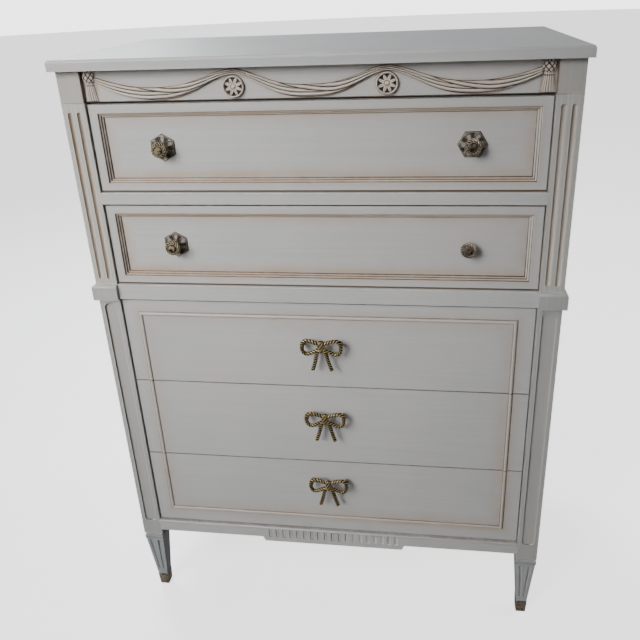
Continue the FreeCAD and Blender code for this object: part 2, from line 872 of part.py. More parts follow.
def on_step_edge(point, step, height):
    """Whether a corner of the front lies where a step of its moulding turns down."""
    inset = step_inset(step)
    return (near(point.y, size.moulding_step_depth * step)
            and near(abs(point.x), front_half - inset)
            and (near(point.z, inset) or near(point.z, height - inset)))


def upper_front(drawer):
    """A front whose panel is sunk inside a frame moulding of three rounded reeds."""
    body = front_blank(drawer)
    for step in range(MOULDING_STEPS):
        inset = step_inset(step)
        sketch = sketch_on(body, "XZ_Plane", "{}_step_{}".format(body.Name, step + 1))
        outline(sketch, rectangle((-front_half + inset, front_half - inset),
                                  (inset, drawer.front_height - inset)))
        removes(body, "Pocket", "{}_moulding_{}".format(body.Name, step + 1), Profile=sketch,
                Length=size.moulding_step_depth * (step + 1))
    stepped = body.Tip
    edges = []
    for step in range(MOULDING_STEPS):
        edges += edges_where(stepped.Shape, lambda p: on_step_edge(p, step, drawer.front_height))
    reeds = body.newObject("PartDesign::Fillet", body.Name + "_reeds")
    reeds.Base = (stepped, edges)
    bind(reeds, "Radius", size.moulding_round)
    body.Tip = reeds
    housings(body, drawer)
    screw_holes(body, drawer)
    place(body, 0.0, drawer_face, drawer.front_foot)


def half_round(body, name, x, lift):
    """A half disc standing on the front face, ready to be run along a board."""
    sketch = sketch_on(body, "XY_Plane", name, lift)
    radius = size.bead_radius
    outline(sketch, [(x - radius, 0.0), (x + radius, 0.0)], {0: radius})
    return sketch


def bead_run(body, drawer, bead_foot, bead_head):
    """The bead along three sides of a front: down its sides and across at the head or foot."""
    side = front_half - size.bead_side_inset
    across_head = bead_head is not None
    level = bead_head if across_head else bead_foot
    start = 0.0 if across_head else drawer.front_height
    path = sketch_on(body, "XZ_Plane", body.Name + "_bead_path")
    spots = [(-side, start), (-side, level), (side, level), (side, start)]
    for number in range(3):
        ends = [FreeCAD.Vector(float(x), float(y), 0) for x, y in spots[number:number + 2]]
        path.addGeometry(Part.LineSegment(*ends))
    for number in range(2):
        path.addConstraint(Sketcher.Constraint("Coincident", number, 2, number + 1, 1))
    for number in range(3):
        pin(path, number, 1, *spots[number])
    pin(path, 2, 2, *spots[3])
    section = half_round(body, body.Name + "_bead_section", -side, start)
    doc.recompute()
    run = body.newObject("PartDesign::AdditivePipe", body.Name + "_bead")
    run.Profile = section
    run.Spine = (path, ["Edge1", "Edge2", "Edge3"])
    run.Transition = "Right corner"
    body.Tip = run


def lower_front(drawer):
    """A flat front with its share of the bead that frames the three lower drawers as one."""
    body = front_blank(drawer)
    side = front_half - size.bead_side_inset
    if drawer.number == 3:
        bead_run(body, drawer, None, drawer.front_height - size.bead_head_inset)
    elif drawer.number == 5:
        bead_run(body, drawer, size.bead_foot_inset, None)
    else:
        for x, word in ((-side, "left"), (side, "right")):
            section = half_round(body, "{}_{}_bead_section".format(body.Name, word), x, 0.0)
            feature(body, "Pad", "{}_{}_bead".format(body.Name, word), Profile=section,
                    Length=drawer.front_height)
    housings(body, drawer)
    screw_holes(body, drawer)
    place(body, 0.0, drawer_face, drawer.front_foot)


def drawer_box(drawer):
    """The sides, back and bottom of a drawer; the back is notched to ride over the guide."""
    name = drawer.name
    inner = box_half - size.drawer_board
    reach = inner + size.bottom_groove
    start = front_back - size.housing_depth
    bottom_foot = drawer.box_foot + size.bottom_rise
    bottom_top = bottom_foot + size.bottom_thickness
    back_face = box_rear - size.drawer_board
    back_top = drawer.box_top - size.drawer_back_drop
    board = box(name + "_side_board", (inner, box_half), (start, box_rear),
                (drawer.box_foot, drawer.box_top))
    groove = box(name + "_side_groove", (inner, reach), (start, back_face),
                 (bottom_foot, bottom_top))
    rebate = box(name + "_side_rebate", (inner, reach), (back_face, box_rear),
                 (drawer.box_foot, back_top))
    right = cut(name + "_right_side", cut(name + "_grooved_side", board, groove), rebate)
    group(name + "_sides", [right, mirrored(name + "_left_side", right)])

    back = new_body(name + "_back")
    notch = size.guide_width / 2 + size.guide_clearance
    notch_top = size.guide_height + size.guide_clearance
    height = back_top - drawer.box_foot
    sketch = sketch_on(back, "XZ_Plane", name + "_back_outline")
    outline(sketch, [(-reach, 0.0), (-notch, 0.0), (-notch, notch_top), (notch, notch_top),
                     (notch, 0.0), (reach, 0.0), (reach, height), (-reach, height)])
    feature(back, "Pad", name + "_back_pad", Profile=sketch, Length=size.drawer_board)
    place(back, 0.0, box_rear, drawer.box_foot)

    box(name + "_bottom", (-reach, reach), (start, back_face), (bottom_foot, bottom_top))


# Carving on the frieze

# Where the grooves between the folds run across the swag, from its lower to its upper edge,
# at the left end, the lowest part and the right end of a bay.
FOLD_GROOVE_SHARES = ((0.26, 0.60), (0.20, 0.62), (0.46, 0.76))
# The form of one fold across its width, and how high it stands there.
FOLD_PLACE_SHARES = (0.18, 0.50, 0.82)
FOLD_HEIGHT_SHARES = (0.78, 1.0, 0.78)
GROOVE_HEIGHT_SHARE = 0.34
EDGE_HEIGHT_SHARE = 0.22


def eased(share):
    """A climb from nought to one that starts and ends level."""
    return share * share * (3 - 2 * share)


def blend(start, end, share):
    return start + (end - start) * share


def swag_levels(x):
    """The heights of the swag's lower and upper edges above the foot of the frieze."""
    crown_x = float(rosette_centre)
    low_x = float(swag_low)
    end_x = float(swag_end)
    low = (float(size.swag_low_foot), float(size.swag_low_top))
    if abs(x) <= low_x:
        high = (float(size.swag_crown_foot), float(size.swag_crown_top))
        run = abs(x) / crown_x if abs(x) < crown_x else (low_x - abs(x)) / (low_x - crown_x)
        climb = eased(run ** float(size.swag_crown_power_share))
    else:
        high = (float(size.swag_end_foot), float(size.swag_end_top))
        climb = ((abs(x) - low_x) / (end_x - low_x)) ** float(size.swag_end_power_share)
    return [blend(start, end, climb) for start, end in zip(low, high)]


def fold_grooves(x):
    """How far across the swag its two grooves run at x; a bay on the right mirrors the left."""
    crown_x = float(rosette_centre)
    low_x = float(swag_low)
    bay = -abs(x) if abs(x) > crown_x else x
    if abs(x) > crown_x:
        left, low, right = -float(swag_end), -low_x, -crown_x
    else:
        left, low, right = -crown_x, 0.0, crown_x
    if bay <= low:
        first, second, share = 0, 1, (bay - left) / (low - left)
    else:
        first, second, share = 1, 2, (bay - low) / (right - low)
    pairs = zip(FOLD_GROOVE_SHARES[first], FOLD_GROOVE_SHARES[second])
    return [blend(start, end, share) for start, end in pairs]


def swag_section(x):
    """One section of the swag: flat against the frieze, three rounded folds in front."""
    foot, top = swag_levels(x)
    relief = float(size.swag_relief)
    edges = [0.0] + fold_grooves(x) + [1.0]
    spots = [(0.0, 0.0), (0.0, EDGE_HEIGHT_SHARE)]
    for number in range(3):
        low, high = edges[number], edges[number + 1]
        for share, height in zip(FOLD_PLACE_SHARES, FOLD_HEIGHT_SHARES):
            spots.append((blend(low, high, share), height))
        if number < 2:
            spots.append((high, GROOVE_HEIGHT_SHARE))
    spots += [(1.0, EDGE_HEIGHT_SHARE), (1.0, 0.0)]
    points = [FreeCAD.Vector(x, -height * relief, blend(foot, top, across))
              for across, height in spots]
    return Part.makePolygon(points + points[:1])


def drapery_swag():
    """Three bays of drapery: hung from the tassels and carried over both rosettes."""
    steps = math.ceil(2 * float(swag_end) / float(size.swag_step))
    places = [blend(-float(swag_end), float(swag_end), number / steps)
              for number in range(steps + 1)]
    shape = Part.makeLoft([swag_section(x) for x in places], True, True)
    fixed("drapery_swag", shape, 0.0, frieze_face, cap_foot)


# The cut gaps between a rosette's petals: a count, and shares of the space inside its rim.
PETAL_COUNT = 8
GAP_OUTER_SHARE = 0.88
GAP_INNER_SHARE = 0.36
GAP_WIDTH_SHARE = 0.66
GAP_DEPTH_SHARE = 0.7


def rosette(name, x):
    """A small wheel: a rounded rim, a boss and petals left standing between cut gaps."""
    body = new_body(name)
    rim_inner = size.rosette_radius - size.rosette_rim
    floor = size.rosette_relief - size.rosette_rim / 2
    profile = sketch_on(body, "YZ_Plane", name + "_profile")
    boss = size.rosette_boss_radius
    crest = -size.rosette_relief
    outline(profile, [(0.0, 0.0), (0.0, size.rosette_radius), (-floor, size.rosette_radius),
                      (crest, size.rosette_radius - size.rosette_rim / 3),
                      (crest, rim_inner + size.rosette_rim / 3), (-floor, rim_inner),
                      (-floor, boss), (crest, boss / 2), (crest, 0.0)])
    feature(body, "Revolution", name + "_wheel", Profile=profile,
            ReferenceAxis=(profile, ["H_Axis"]), Angle=360.0)
    gap = sketch_on(body, "XZ_Plane", name + "_gap_outline", floor)
    outer = rim_inner * GAP_OUTER_SHARE
    inner = rim_inner * GAP_INNER_SHARE
    half = outer * math.sin(math.pi / PETAL_COUNT) * GAP_WIDTH_SHARE
    outline(gap, [(inner, 0.0), (outer, -half), (outer, half)])
    hollow = removes(body, "Pocket", name + "_gap", Profile=gap, Length=floor * GAP_DEPTH_SHARE)
    pattern = body.newObject("PartDesign::PolarPattern", name + "_petals")
    pattern.Originals = [hollow]
    pattern.Axis = (profile, ["H_Axis"])
    pattern.Angle = 360.0
    pattern.Occurrences = PETAL_COUNT
    body.Tip = pattern
    place(body, x, frieze_face, cap_foot + size.rosette_height)
    return body


def rosettes():
    wheels = [rosette("left_rosette", -rosette_centre),
              rosette("right_rosette", rosette_centre)]
    group("frieze_rosettes", wheels)


# The woven knot of a tassel: heights and widths as shares of its radius.
KNOT_LEVEL_SHARES = (-0.92, -0.55, 0.0, 0.55, 0.92)
KNOT_WIDTH_SHARES = (0.45, 0.86, 1.0, 0.82, 0.40)
# How deep the hollows between the cords are, and the skirt's head against its foot.
CORD_DEPTH_SHARE = 0.22
SKIRT_TOP_SHARE = 1.0
SKIRT_TOP_RELIEF_SHARE = 0.75


def tassel_section(level, width, relief, depth_share):
    """Half of a fluted round: its cords stand out from the frieze by turns."""
    count = int(float(size.tassel_cord_count))
    points = []
    for number in range(2 * count + 1):
        turn = math.pi * number / (2 * count)
        swell = 1 - depth_share * (number % 2)
        points.append(FreeCAD.Vector(-math.cos(turn) * width / 2,
                                     -math.sin(turn) * relief * swell, level))
    return Part.makePolygon(points + points[:1])


def tassel_shape():
    """A tassel from the ends of its cords up to the top of its knot."""
    knot = float(size.tassel_knot_radius)
    middle = float(size.tassel_knot_height)
    relief = float(size.tassel_relief)
    knot_relief = float(size.tassel_knot_relief)
    sections = [
        tassel_section(float(size.tassel_skirt_foot), float(size.tassel_skirt_foot_width),
                       relief, CORD_DEPTH_SHARE),
        tassel_section(middle - knot * SKIRT_TOP_SHARE, float(size.tassel_skirt_top_width),
                       relief * SKIRT_TOP_RELIEF_SHARE, CORD_DEPTH_SHARE),
    ]
    for level, width in zip(KNOT_LEVEL_SHARES, KNOT_WIDTH_SHARES):
        sections.append(tassel_section(middle + knot * level, 2 * knot * width,
                                       knot_relief * width, 0.0))
    return Part.makeLoft(sections, True, True)


def tassels():
    shape = tassel_shape()
    pair = [fixed("left_tassel", shape, -tassel_centre, frieze_face, cap_foot),
            fixed("right_tassel", shape, tassel_centre, frieze_face, cap_foot)]
    group("frieze_tassels", pair)


# Knobs and backplates

# How far along its reach each ring of a knob stands.
HEAD_BACK_SHARE = 0.46
HEAD_RIM_SHARE = 0.62
HEAD_FRONT_SHARE = 0.78
BOSS_SHOULDER_SHARE = 0.92


def ring(radius, level, sides, lobe_depth=0.0, turn=0.0):
    """The corners of a ring across a knob's axis; with lobes, every second one is drawn in."""
    points = []
    for number in range(sides):
        angle = 2 * math.pi * (number + turn) / sides
        reach = radius - lobe_depth * (number % 2)
        points.append(FreeCAD.Vector(math.cos(angle) * reach, -level, math.sin(angle) * reach))
    return points


def knob_shape():
    """A turned knob: a plain neck, a head with twisted gadroons round its rim and a boss."""
    reach = float(size.knob_reach)
    lobes = int(float(size.knob_lobe_count)) * 2
    depth = float(size.knob_lobe_depth)
    neck = float(size.knob_neck_radius)
    boss = float(size.knob_boss_radius)
    stem = faceted([ring(neck, 0.0, TURNED_SIDES),
                    ring(neck, reach * HEAD_RIM_SHARE, TURNED_SIDES)])
    head = faceted([
        ring(float(size.knob_back_radius), reach * HEAD_BACK_SHARE, lobes),
        ring(float(size.knob_radius), reach * HEAD_RIM_SHARE, lobes, depth, 1.0),
        ring(float(size.knob_face_radius), reach * HEAD_FRONT_SHARE, lobes, depth, 2.0)])
    crown = faceted([
        ring(boss, reach * HEAD_RIM_SHARE, TURNED_SIDES),
        ring(boss, reach * BOSS_SHOULDER_SHARE, TURNED_SIDES),
        ring(float(size.knob_crown_radius), reach, TURNED_SIDES)])
    return stem.fuse([head, crown]).removeSplitter()


def knobs():
    """Four knobs; the lower right one sits on the bare panel, the others on backplates."""
    shape = knob_shape()
    for drawer in drawers[:2]:
        for side, word in ((-1, "left"), (1, "right")):
            fixed("{}_{}_knob".format(drawer.name, word), shape, side * knob_centre,
                  knob_seat(drawer, side), drawer.front_foot + drawer.pull_height())


def knob_seat(drawer, side):
    """How far back a knob's foot stands: on the sunk panel, or on the plate over it."""
    panel = drawer_face + moulding_depth
    return panel if drawer.number == 2 and side > 0 else panel - size.plate_thickness


def hexagon(width, turn):
    """The corners of a hexagon given by its width across flats."""
    radius = width / math.sqrt(3)
    return [(radius * math.cos(turn + math.pi * number / 3),
             radius * math.sin(turn + math.pi * number / 3)) for number in range(6)]


def plate(drawer, side, word, turn):
    """A dished hexagonal plate pierced with six petals round the knob's screw."""
    name = "{}_{}_plate".format(drawer.name, word)
    body = new_body(name)
    face = sketch_on(body, "XZ_Plane", name + "_outline")
    outline(face, hexagon(size.plate_width, turn))
    feature(body, "Pad", name + "_pad", Profile=face, Length=size.plate_thickness)
    dish = sketch_on(body, "XZ_Plane", name + "_dish_outline", size.plate_thickness)
    outline(dish, hexagon(size.plate_width - size.plate_rim * 2, turn))
    removes(body, "Pocket", name + "_dish", Profile=dish, Length=size.plate_dish)
    petal = sketch_on(body, "XZ_Plane", name + "_petal_outline", size.plate_thickness)
    outline(petal, petal_corners(turn))
    hole = removes(body, "Pocket", name + "_petal", Profile=petal, Length=size.plate_thickness)
    pattern = body.newObject("PartDesign::PolarPattern", name + "_petals")
    pattern.Originals = [hole]
    pattern.Axis = (face, ["N_Axis"])
    pattern.Angle = 360.0
    pattern.Occurrences = 6
    body.Tip = pattern
    middle = sketch_on(body, "XZ_Plane", name + "_middle", size.plate_thickness)
    circle(middle, 0.0, 0.0, size.screw_radius + size.screw_hole_clearance)
    removes(body, "Pocket", name + "_screw_hole", Profile=middle, Length=size.plate_thickness)
    place(body, side * knob_centre, drawer_face + moulding_depth,
          drawer.front_foot + drawer.pull_height())


# Corners of a pierced petal along and across its own axis, as shares of its radius.
PETAL_CORNER_SHARES = ((-1.35, 0.0), (-0.35, -0.75), (0.55, -0.85), (1.0, 0.0),
                       (0.55, 0.85), (-0.35, 0.75))


def petal_corners(turn):
    along = (math.cos(turn), math.sin(turn))
    corners = []
    for forward, aside in PETAL_CORNER_SHARES:
        out = size.plate_petal_circle + size.plate_petal_radius * forward
        over = size.plate_petal_radius * aside
        corners.append((out * along[0] - over * along[1], out * along[1] + over * along[0]))
    return corners


def plates():
    """The upper right plate lies with a flat side up; the two on the left stand on a point."""
    upper, lower = drawers[0], drawers[1]
    plate(upper, -1, "left", math.pi / 6)
    plate(upper, 1, "right", 0.0)
    plate(lower, -1, "left", math.pi / 6)


# Rope bow pulls

# How far a tail has spread half-way down, and the knot's levels and widths, as shares.
TAIL_BEND_SHARE = 0.42
KNOT_BARREL_SHARES = ((-0.5, 0.62), (-0.3, 1.0), (0.3, 1.0), (0.5, 0.62))


def rope(points, radius):
    """A rope of a few flat sides along a path that lies in the plane of the bow."""
    rings = []
    for number, (x, z) in enumerate(points):
        before = points[max(number - 1, 0)]
        after = points[min(number + 1, len(points) - 1)]
        ways = [(x - before[0], z - before[1]), (after[0] - x, after[1] - z)]
        ways = [(a / math.hypot(a, b), b / math.hypot(a, b)) for a, b in ways if (a, b) != (0, 0)]
        tangent = (sum(way[0] for way in ways), sum(way[1] for way in ways))
        length = math.hypot(*tangent)
        across = (-tangent[1] / length, tangent[0] / length)
        stretch = len(ways) / length
        corners = []
        for side in range(ROPE_SIDES):
            angle = 2 * math.pi * (side + 0.5) / ROPE_SIDES
            out = math.cos(angle) * radius * stretch
            corners.append(FreeCAD.Vector(x + across[0] * out, math.sin(angle) * radius,
                                          z + across[1] * out))
        rings.append(corners)
    return faceted(rings)


def quarter_turn(centre, radius, start_angle, turn):
    """Points round a corner."""
    return [(centre[0] + radius * math.cos(start_angle + turn * number / CORNER_STEPS),
             centre[1] + radius * math.sin(start_angle + turn * number / CORNER_STEPS))
            for number in range(CORNER_STEPS + 1)]


def loop_path(side):
    """One loop of the bow, from the knot round its outer side and back into the knot."""
    outer = float(size.pull_centres) / 2 + float(size.pull_loop_outset)
    corner = float(size.pull_loop_corner)
    top = float(size.pull_loop_top)
    foot = -float(size.pull_loop_foot)
    throat = float(size.pull_knot_width) / 4
    right_angle = math.pi / 2
    path = [(throat, float(size.pull_throat_top))]
    path += quarter_turn((outer - corner, top - corner), corner, right_angle, -right_angle)
    path += quarter_turn((outer - corner, foot + corner), corner, 0.0, -right_angle)
    path.append((throat, -float(size.pull_throat_foot)))
    return [(side * x, z) for x, z in path]


def tail_path(side):
    knot_half = float(size.pull_knot_height) / 2
    top = float(size.pull_tail_top_spacing) / 2
    foot = float(size.pull_tail_foot_spacing) / 2
    length = float(size.pull_tail_length)
    start = (float(size.pull_knot_width) / 4, -knot_half / 2)
    middle = (blend(top, foot, TAIL_BEND_SHARE), -blend(knot_half, length, 0.5))
    return [(side * x, z) for x, z in (start, (top, -knot_half), middle, (foot, -length))]


def knot_shape():
    """The wrapped knot: a barrel of eight sides."""
    height = float(size.pull_knot_height)
    width = float(size.pull_knot_width) / 2
    depth = float(size.pull_knot_depth) / 2
    rings = []
    for level, swell in KNOT_BARREL_SHARES:
        corners = []
        for side in range(ROPE_SIDES):
            angle = 2 * math.pi * (side + 0.5) / ROPE_SIDES
            fit = 1 / math.cos(math.pi / ROPE_SIDES)
            corners.append(FreeCAD.Vector(math.cos(angle) * width * swell * fit,
                                          math.sin(angle) * depth * swell * fit,
                                          level * height))
        rings.append(corners)
    return faceted(rings)


def pull_post(side):
    """A round foot from the back of a loop to the face of the drawer."""
    x = side * float(size.pull_centres) / 2
    z = (float(size.pull_loop_top) - float(size.pull_loop_foot)) / 2
    radius = float(size.pull_post_radius)
    rings = []
    for y in (0.0, float(size.pull_standoff)):
        rings.append([FreeCAD.Vector(x + radius * math.cos(2 * math.pi * number / ROPE_SIDES), y,
                                     z + radius * math.sin(2 * math.pi * number / ROPE_SIDES))
                      for number in range(ROPE_SIDES)])
    return faceted(rings)


def bow_shape():
    radius = float(size.pull_rope_radius)
    pieces = [rope(path(side), radius) for side in (-1, 1) for path in (loop_path, tail_path)]
    pieces += [pull_post(-1), pull_post(1)]
    return knot_shape().fuse(pieces).removeSplitter()


def bow_pulls():
    shape = bow_shape()
    post_level = (size.pull_loop_top - size.pull_loop_foot) / 2
    for drawer in drawers[2:]:
        fixed(drawer.name + "_bow_pull", shape, 0.0, drawer_face - size.pull_standoff,
              drawer.front_foot + drawer.pull_height() - post_level)


# Screws

def screw_body(name, x, z, tip):
    """A pan-head screw from inside the drawer: its head behind the front, its end at the pull."""
    shank = doc.addObject("Part::Prism", name + "_shank")
    head = doc.addObject("Part::Prism", name + "_head")
    for prism, radius, height, foot in (
            (shank, size.screw_radius, front_back - tip, front_back),
            (head, size.screw_head_radius, size.screw_head_height,
             front_back + size.screw_head_height)):
        prism.Polygon = ROPE_SIDES
        bind(prism, "Circumradius", radius)
        bind(prism, "Height", height)
        prism.Placement = FreeCAD.Placement(
            FreeCAD.Vector(0, 0, 0), FreeCAD.Rotation(FreeCAD.Vector(1, 0, 0), 90))
        place(prism, x, foot, z)
    screw = doc.addObject("Part::Fuse", name)
    screw.Base = shank
    screw.Tool = head
    return screw


def screws():
    for drawer in drawers:
        pieces = []
        for number, x in enumerate(drawer.pull_places(), start=1):
            tip = knob_seat(drawer, (-1, 1)[number - 1]) if drawer.upper else drawer_face
            pieces.append(screw_body("{}_screw_{}".format(drawer.name, number), x,
                                     drawer.front_foot + drawer.pull_height(), tip))
        group(drawer.name + "_screws", pieces)


# Building, checking and writing

NODES = [
    "top_board", "left_side_panel", "right_side_panel", "back_panel", "frieze_panel",
    "drapery_swag", "frieze_rosettes", "frieze_tassels", "cap_blocks", "left_upper_post",
    "right_upper_post", "left_lower_post", "right_lower_post", "waist_blocks",
    "upper_drawer_rail", "waist_rail", "apron_rail", "front_left_leg", "front_right_leg",
    "rear_left_leg", "rear_right_leg", "leg_ferrules", "dust_boards", "drawer_guides",
    "rear_corner_blocks",
]
for drawer in drawers:
    NODES += [drawer.name + part for part in ("_front", "_sides", "_back", "_bottom", "_screws")]
NODES += ["drawer_1_left_knob", "drawer_1_right_knob", "drawer_2_left_knob",
          "drawer_2_right_knob", "drawer_1_left_plate", "drawer_1_right_plate",
          "drawer_2_left_plate", "drawer_3_bow_pull", "drawer_4_bow_pull",
          "drawer_5_bow_pull"]


def build():
    top_board()
    side_panels()
    back_panel()
    frieze_panel()
    cap_blocks()
    for side, word in ((-1, "left"), (1, "right")):
        upper_post(word + "_upper_post", side * post_centre)
        lower_post(word + "_lower_post", side * post_centre)
    waist_blocks()
    rails()
    apron_rail()
    dust_boards()
    corner_blocks()
    legs()
    leg_ferrules()
    for drawer in drawers:
        if drawer.upper:
            upper_front(drawer)
        else:
            lower_front(drawer)
        drawer_box(drawer)
    drapery_swag()
    rosettes()
    tassels()
    knobs()
    plates()
    bow_pulls()
    screws()


def check():
    """Stop if any object has failed or any sub-part is not a sound solid."""
    doc.recompute()
    for item in doc.Objects:
        if "Invalid" in item.State or "Error" in item.State:
            raise RuntimeError("{} is {}".format(item.Name, item.State))
    for name in NODES:
        shape = doc.getObject(name).Shape
        if shape.isNull() or not shape.isValid() or not shape.Solids:
            raise RuntimeError(name + " has no sound solid")


def write():
    os.makedirs("parts", exist_ok=True)
    for name in NODES:
        doc.getObject(name).Shape.exportStep("parts/{}.step".format(name))


build()
check()
write()
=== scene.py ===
"""Dresses the frame of a painted tallboy: carving, cast brass, glazed paint, wood and a studio."""

import math

import bpy
from mathutils import Matrix, Vector


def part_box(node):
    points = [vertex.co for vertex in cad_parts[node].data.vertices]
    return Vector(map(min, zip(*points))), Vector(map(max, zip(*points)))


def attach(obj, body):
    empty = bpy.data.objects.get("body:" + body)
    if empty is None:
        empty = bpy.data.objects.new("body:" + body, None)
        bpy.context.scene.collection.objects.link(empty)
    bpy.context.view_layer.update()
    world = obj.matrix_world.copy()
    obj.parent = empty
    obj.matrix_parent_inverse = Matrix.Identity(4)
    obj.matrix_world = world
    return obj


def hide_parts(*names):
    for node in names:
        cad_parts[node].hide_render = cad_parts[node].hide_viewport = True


bl_info = {
    "name": "Painted tallboy",
    "version": (1, 0, 0),
    "blender": (4, 5, 0),
    "location": "3D View > Sidebar > Tallboy",
    "description": "Carving, cast brass, glazed paint and a studio for a painted tallboy",
    "category": "Object",
}

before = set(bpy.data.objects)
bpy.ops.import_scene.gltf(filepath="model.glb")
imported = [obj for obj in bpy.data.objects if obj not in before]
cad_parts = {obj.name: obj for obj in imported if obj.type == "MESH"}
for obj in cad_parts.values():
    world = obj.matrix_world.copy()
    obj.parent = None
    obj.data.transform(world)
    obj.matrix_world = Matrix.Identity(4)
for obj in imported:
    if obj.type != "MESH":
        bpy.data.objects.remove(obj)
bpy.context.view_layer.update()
MM = 0.001

BOXES = {node: [tuple(corner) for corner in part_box(node)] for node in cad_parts}


def low(node):
    """Least x, y and z of a frame node's box."""
    return Vector(BOXES[node][0])


def high(node):
    """Greatest x, y and z of a frame node's box."""
    return Vector(BOXES[node][1])


def middle(node):
    """Middle of a frame node's box."""
    return (low(node) + high(node)) / 2


def half_size(node):
    """Half the size of a frame node's box."""
    return (high(node) - low(node)) / 2


# Mouldings of the frame that the glaze follows. Reeds and bead are measured inwards from the
# sides of a front, the flutes of a leg upwards from the floor.
DRAWER_FRONT = 22.0 * MM
REED_BAND = (17.0 * MM, 25.0 * MM)
REED_FEET = (17.6 * MM, 21.1 * MM, 24.7 * MM)
BEAD_SIDE = 35.4 * MM
BEAD_HEAD = 31.0 * MM
BEAD_FOOT = 36.0 * MM
BEAD_HALF = 3.6 * MM
FLUTE_SPACING = 17.8 * MM
FLUTE_RADIUS = 4.6 * MM
LEG_FLUTES = (34.0 * MM, 160.0 * MM)


# What a user of the add-on may change


def length(name, description, default):
    """A length in metres, shown in the scene's own units."""
    return bpy.props.FloatProperty(name=name, description=description, default=default,
                                   min=0.0, precision=5, unit="LENGTH", subtype="DISTANCE")


def tint(name, description, default):
    """A colour, shown as a swatch."""
    return bpy.props.FloatVectorProperty(name=name, description=description, default=default,
                                         size=3, min=0.0, max=1.0, subtype="COLOR")


def angle(name, description, default):
    """An angle in radians, shown in the scene's own units."""
    return bpy.props.FloatProperty(name=name, description=description, default=default,
                                   unit="ROTATION", subtype="ANGLE")


def count(name, description, default):
    """A whole number of at least one."""
    return bpy.props.IntProperty(name=name, description=description, default=default, min=1)


def power(name, description, default):
    """The power of a lamp, in watts."""
    return bpy.props.FloatProperty(name=name, description=description, default=default,
                                   min=0.0, unit="POWER")


class TallboyPaint(bpy.types.PropertyGroup):
    """The grey paint, its brown glaze and the bare wood behind it."""

    paint: tint("Paint", "Colour of the grey paint", (0.575, 0.578, 0.575))
    post_paint: tint("Post paint", "Paint of the upper posts, yellowed by glaze",
                     (0.53, 0.52, 0.485))
    # Darker partly for glaze and partly as painted shade under the overhang of the top.
    shaded_cap_paint: tint("Cap block paint", "Darker paint of the cap blocks", (0.47, 0.46, 0.425))
    block_paint: tint("Waist paint", "Paint of the waist blocks and the lower posts",
                      (0.465, 0.47, 0.46))
    leg_paint: tint("Leg paint", "Cooler paint of the legs", (0.44, 0.475, 0.495))
    frieze_paint: tint("Frieze paint", "Paint of the frieze", (0.56, 0.553, 0.535))
    warm_paint: tint("Carving paint", "Paint on the carving, rubbed warmer", (0.63, 0.565, 0.505))
    # The brown of the glaze, also laid as painted shade on shaded walls, the left reeds and the
    # gaps round the drawers.
    glaze: tint("Glaze", "Brown left in the recesses", (0.105, 0.066, 0.043))
    stain: tint("Stain", "Thin glaze wiped over the paint beside a recess", (0.53, 0.39, 0.28))
    # The undercoat colour along worn edges, also laid as painted highlight on walls and reeds that
    # face the light.
    rubbed: tint("Rubbed edge", "Undercoat that shows along worn edges", (0.80, 0.77, 0.71))
    halo: length("Halo", "How far the thin glaze spreads from a moulding", 26.0 * MM)
    carving_glaze: tint("Carving glaze", "Near black left between the folds",
                        (0.045, 0.028, 0.019))
    line: length("Line", "Half the width of the glaze left in a corner", 0.9 * MM)
    wear: length("Wear", "How far an edge is rubbed back", 1.3 * MM)
    wood: tint("Bare wood", "Light part of the unpainted wood", (0.60, 0.44, 0.27))
    dark_wood: tint("Wood grain", "Dark part of the unpainted wood", (0.43, 0.285, 0.16))


class TallboyCarving(bpy.types.PropertyGroup):
    """The swag, wheels and tassels carved on the frieze."""

    crown_top: length("Crown top", "Upper edge of the swag over a wheel", 53.0 * MM)
    crown_foot: length("Crown foot", "Lower edge of the swag over a wheel", 44.5 * MM)
    low_top: length("Low top", "Upper edge of the swag at its lowest", 24.0 * MM)
    low_foot: length("Low foot", "Lower edge of the swag at its lowest", 3.4 * MM)
    end_top: length("End top", "Upper edge of the swag at a tassel", 44.0 * MM)
    end_foot: length("End foot", "Lower edge of the swag at a tassel", 33.0 * MM)
    relief: length("Relief", "How far the swag stands off the frieze", 7.0 * MM)
    wheel_radius: length("Wheel radius", "Outer radius of a wheel", 19.6 * MM)
    wheel_relief: length("Wheel relief", "How far a wheel stands off the frieze", 6.0 * MM)
    knot_radius: length("Knot radius", "Radius of a tassel's woven knot", 12.2 * MM)
    knot_height: length("Knot height", "Middle of a knot above the frieze's foot", 44.5 * MM)
    skirt_width: length("Skirt width", "Width of a tassel at its foot", 24.0 * MM)
    skirt_neck: length("Skirt neck", "Width of a tassel under its knot", 14.0 * MM)
    cords: count("Cords", "Cords across the front of a tassel", 7)
    petals: count("Petals", "Petals of a wheel", 8)


class TallboyBrass(bpy.types.PropertyGroup):
    """Knobs, pierced plates and rope bows."""

    brass: tint("Brass", "Rubbed brass of the bows", (0.60, 0.47, 0.25))
    knob: tint("Knob metal", "Rubbed metal of the knobs", (0.47, 0.40, 0.27))
    dull_knob: tint("Duller knob metal", "Metal of the knobs on the right", (0.54, 0.465, 0.37))
    pewter: tint("Plate metal", "Rubbed metal of the plates", (0.34, 0.305, 0.255))
    petal_fill: tint("Petal fill", "Shaded paint seen through the petals", (0.34, 0.315, 0.29))
    foot: tint("Foot metal", "Dulled brass of the feet", (0.48, 0.40, 0.325))
    steel: tint("Steel", "Metal of the screws", (0.62, 0.62, 0.60))
    patina: tint("Patina", "Dark brown in the hollows of the metal", (0.028, 0.018, 0.009))
    plate_patina: tint("Plate patina", "Grey brown on the flat of the plates", (0.09, 0.074, 0.06))
    gadroons: count("Gadroons", "Twisted ribs round a knob", 14)
    gadroon_turn: angle("Gadroon turn", "How far a rib turns from back to face", 0.62)
    rope_radius: length("Rope radius", "Radius of a bow's rope", 4.2 * MM)
    rope_pitch: length("Rope pitch", "Length of one full turn of the rope", 18.0 * MM)
    strands: count("Strands", "Strands of the rope", 3)


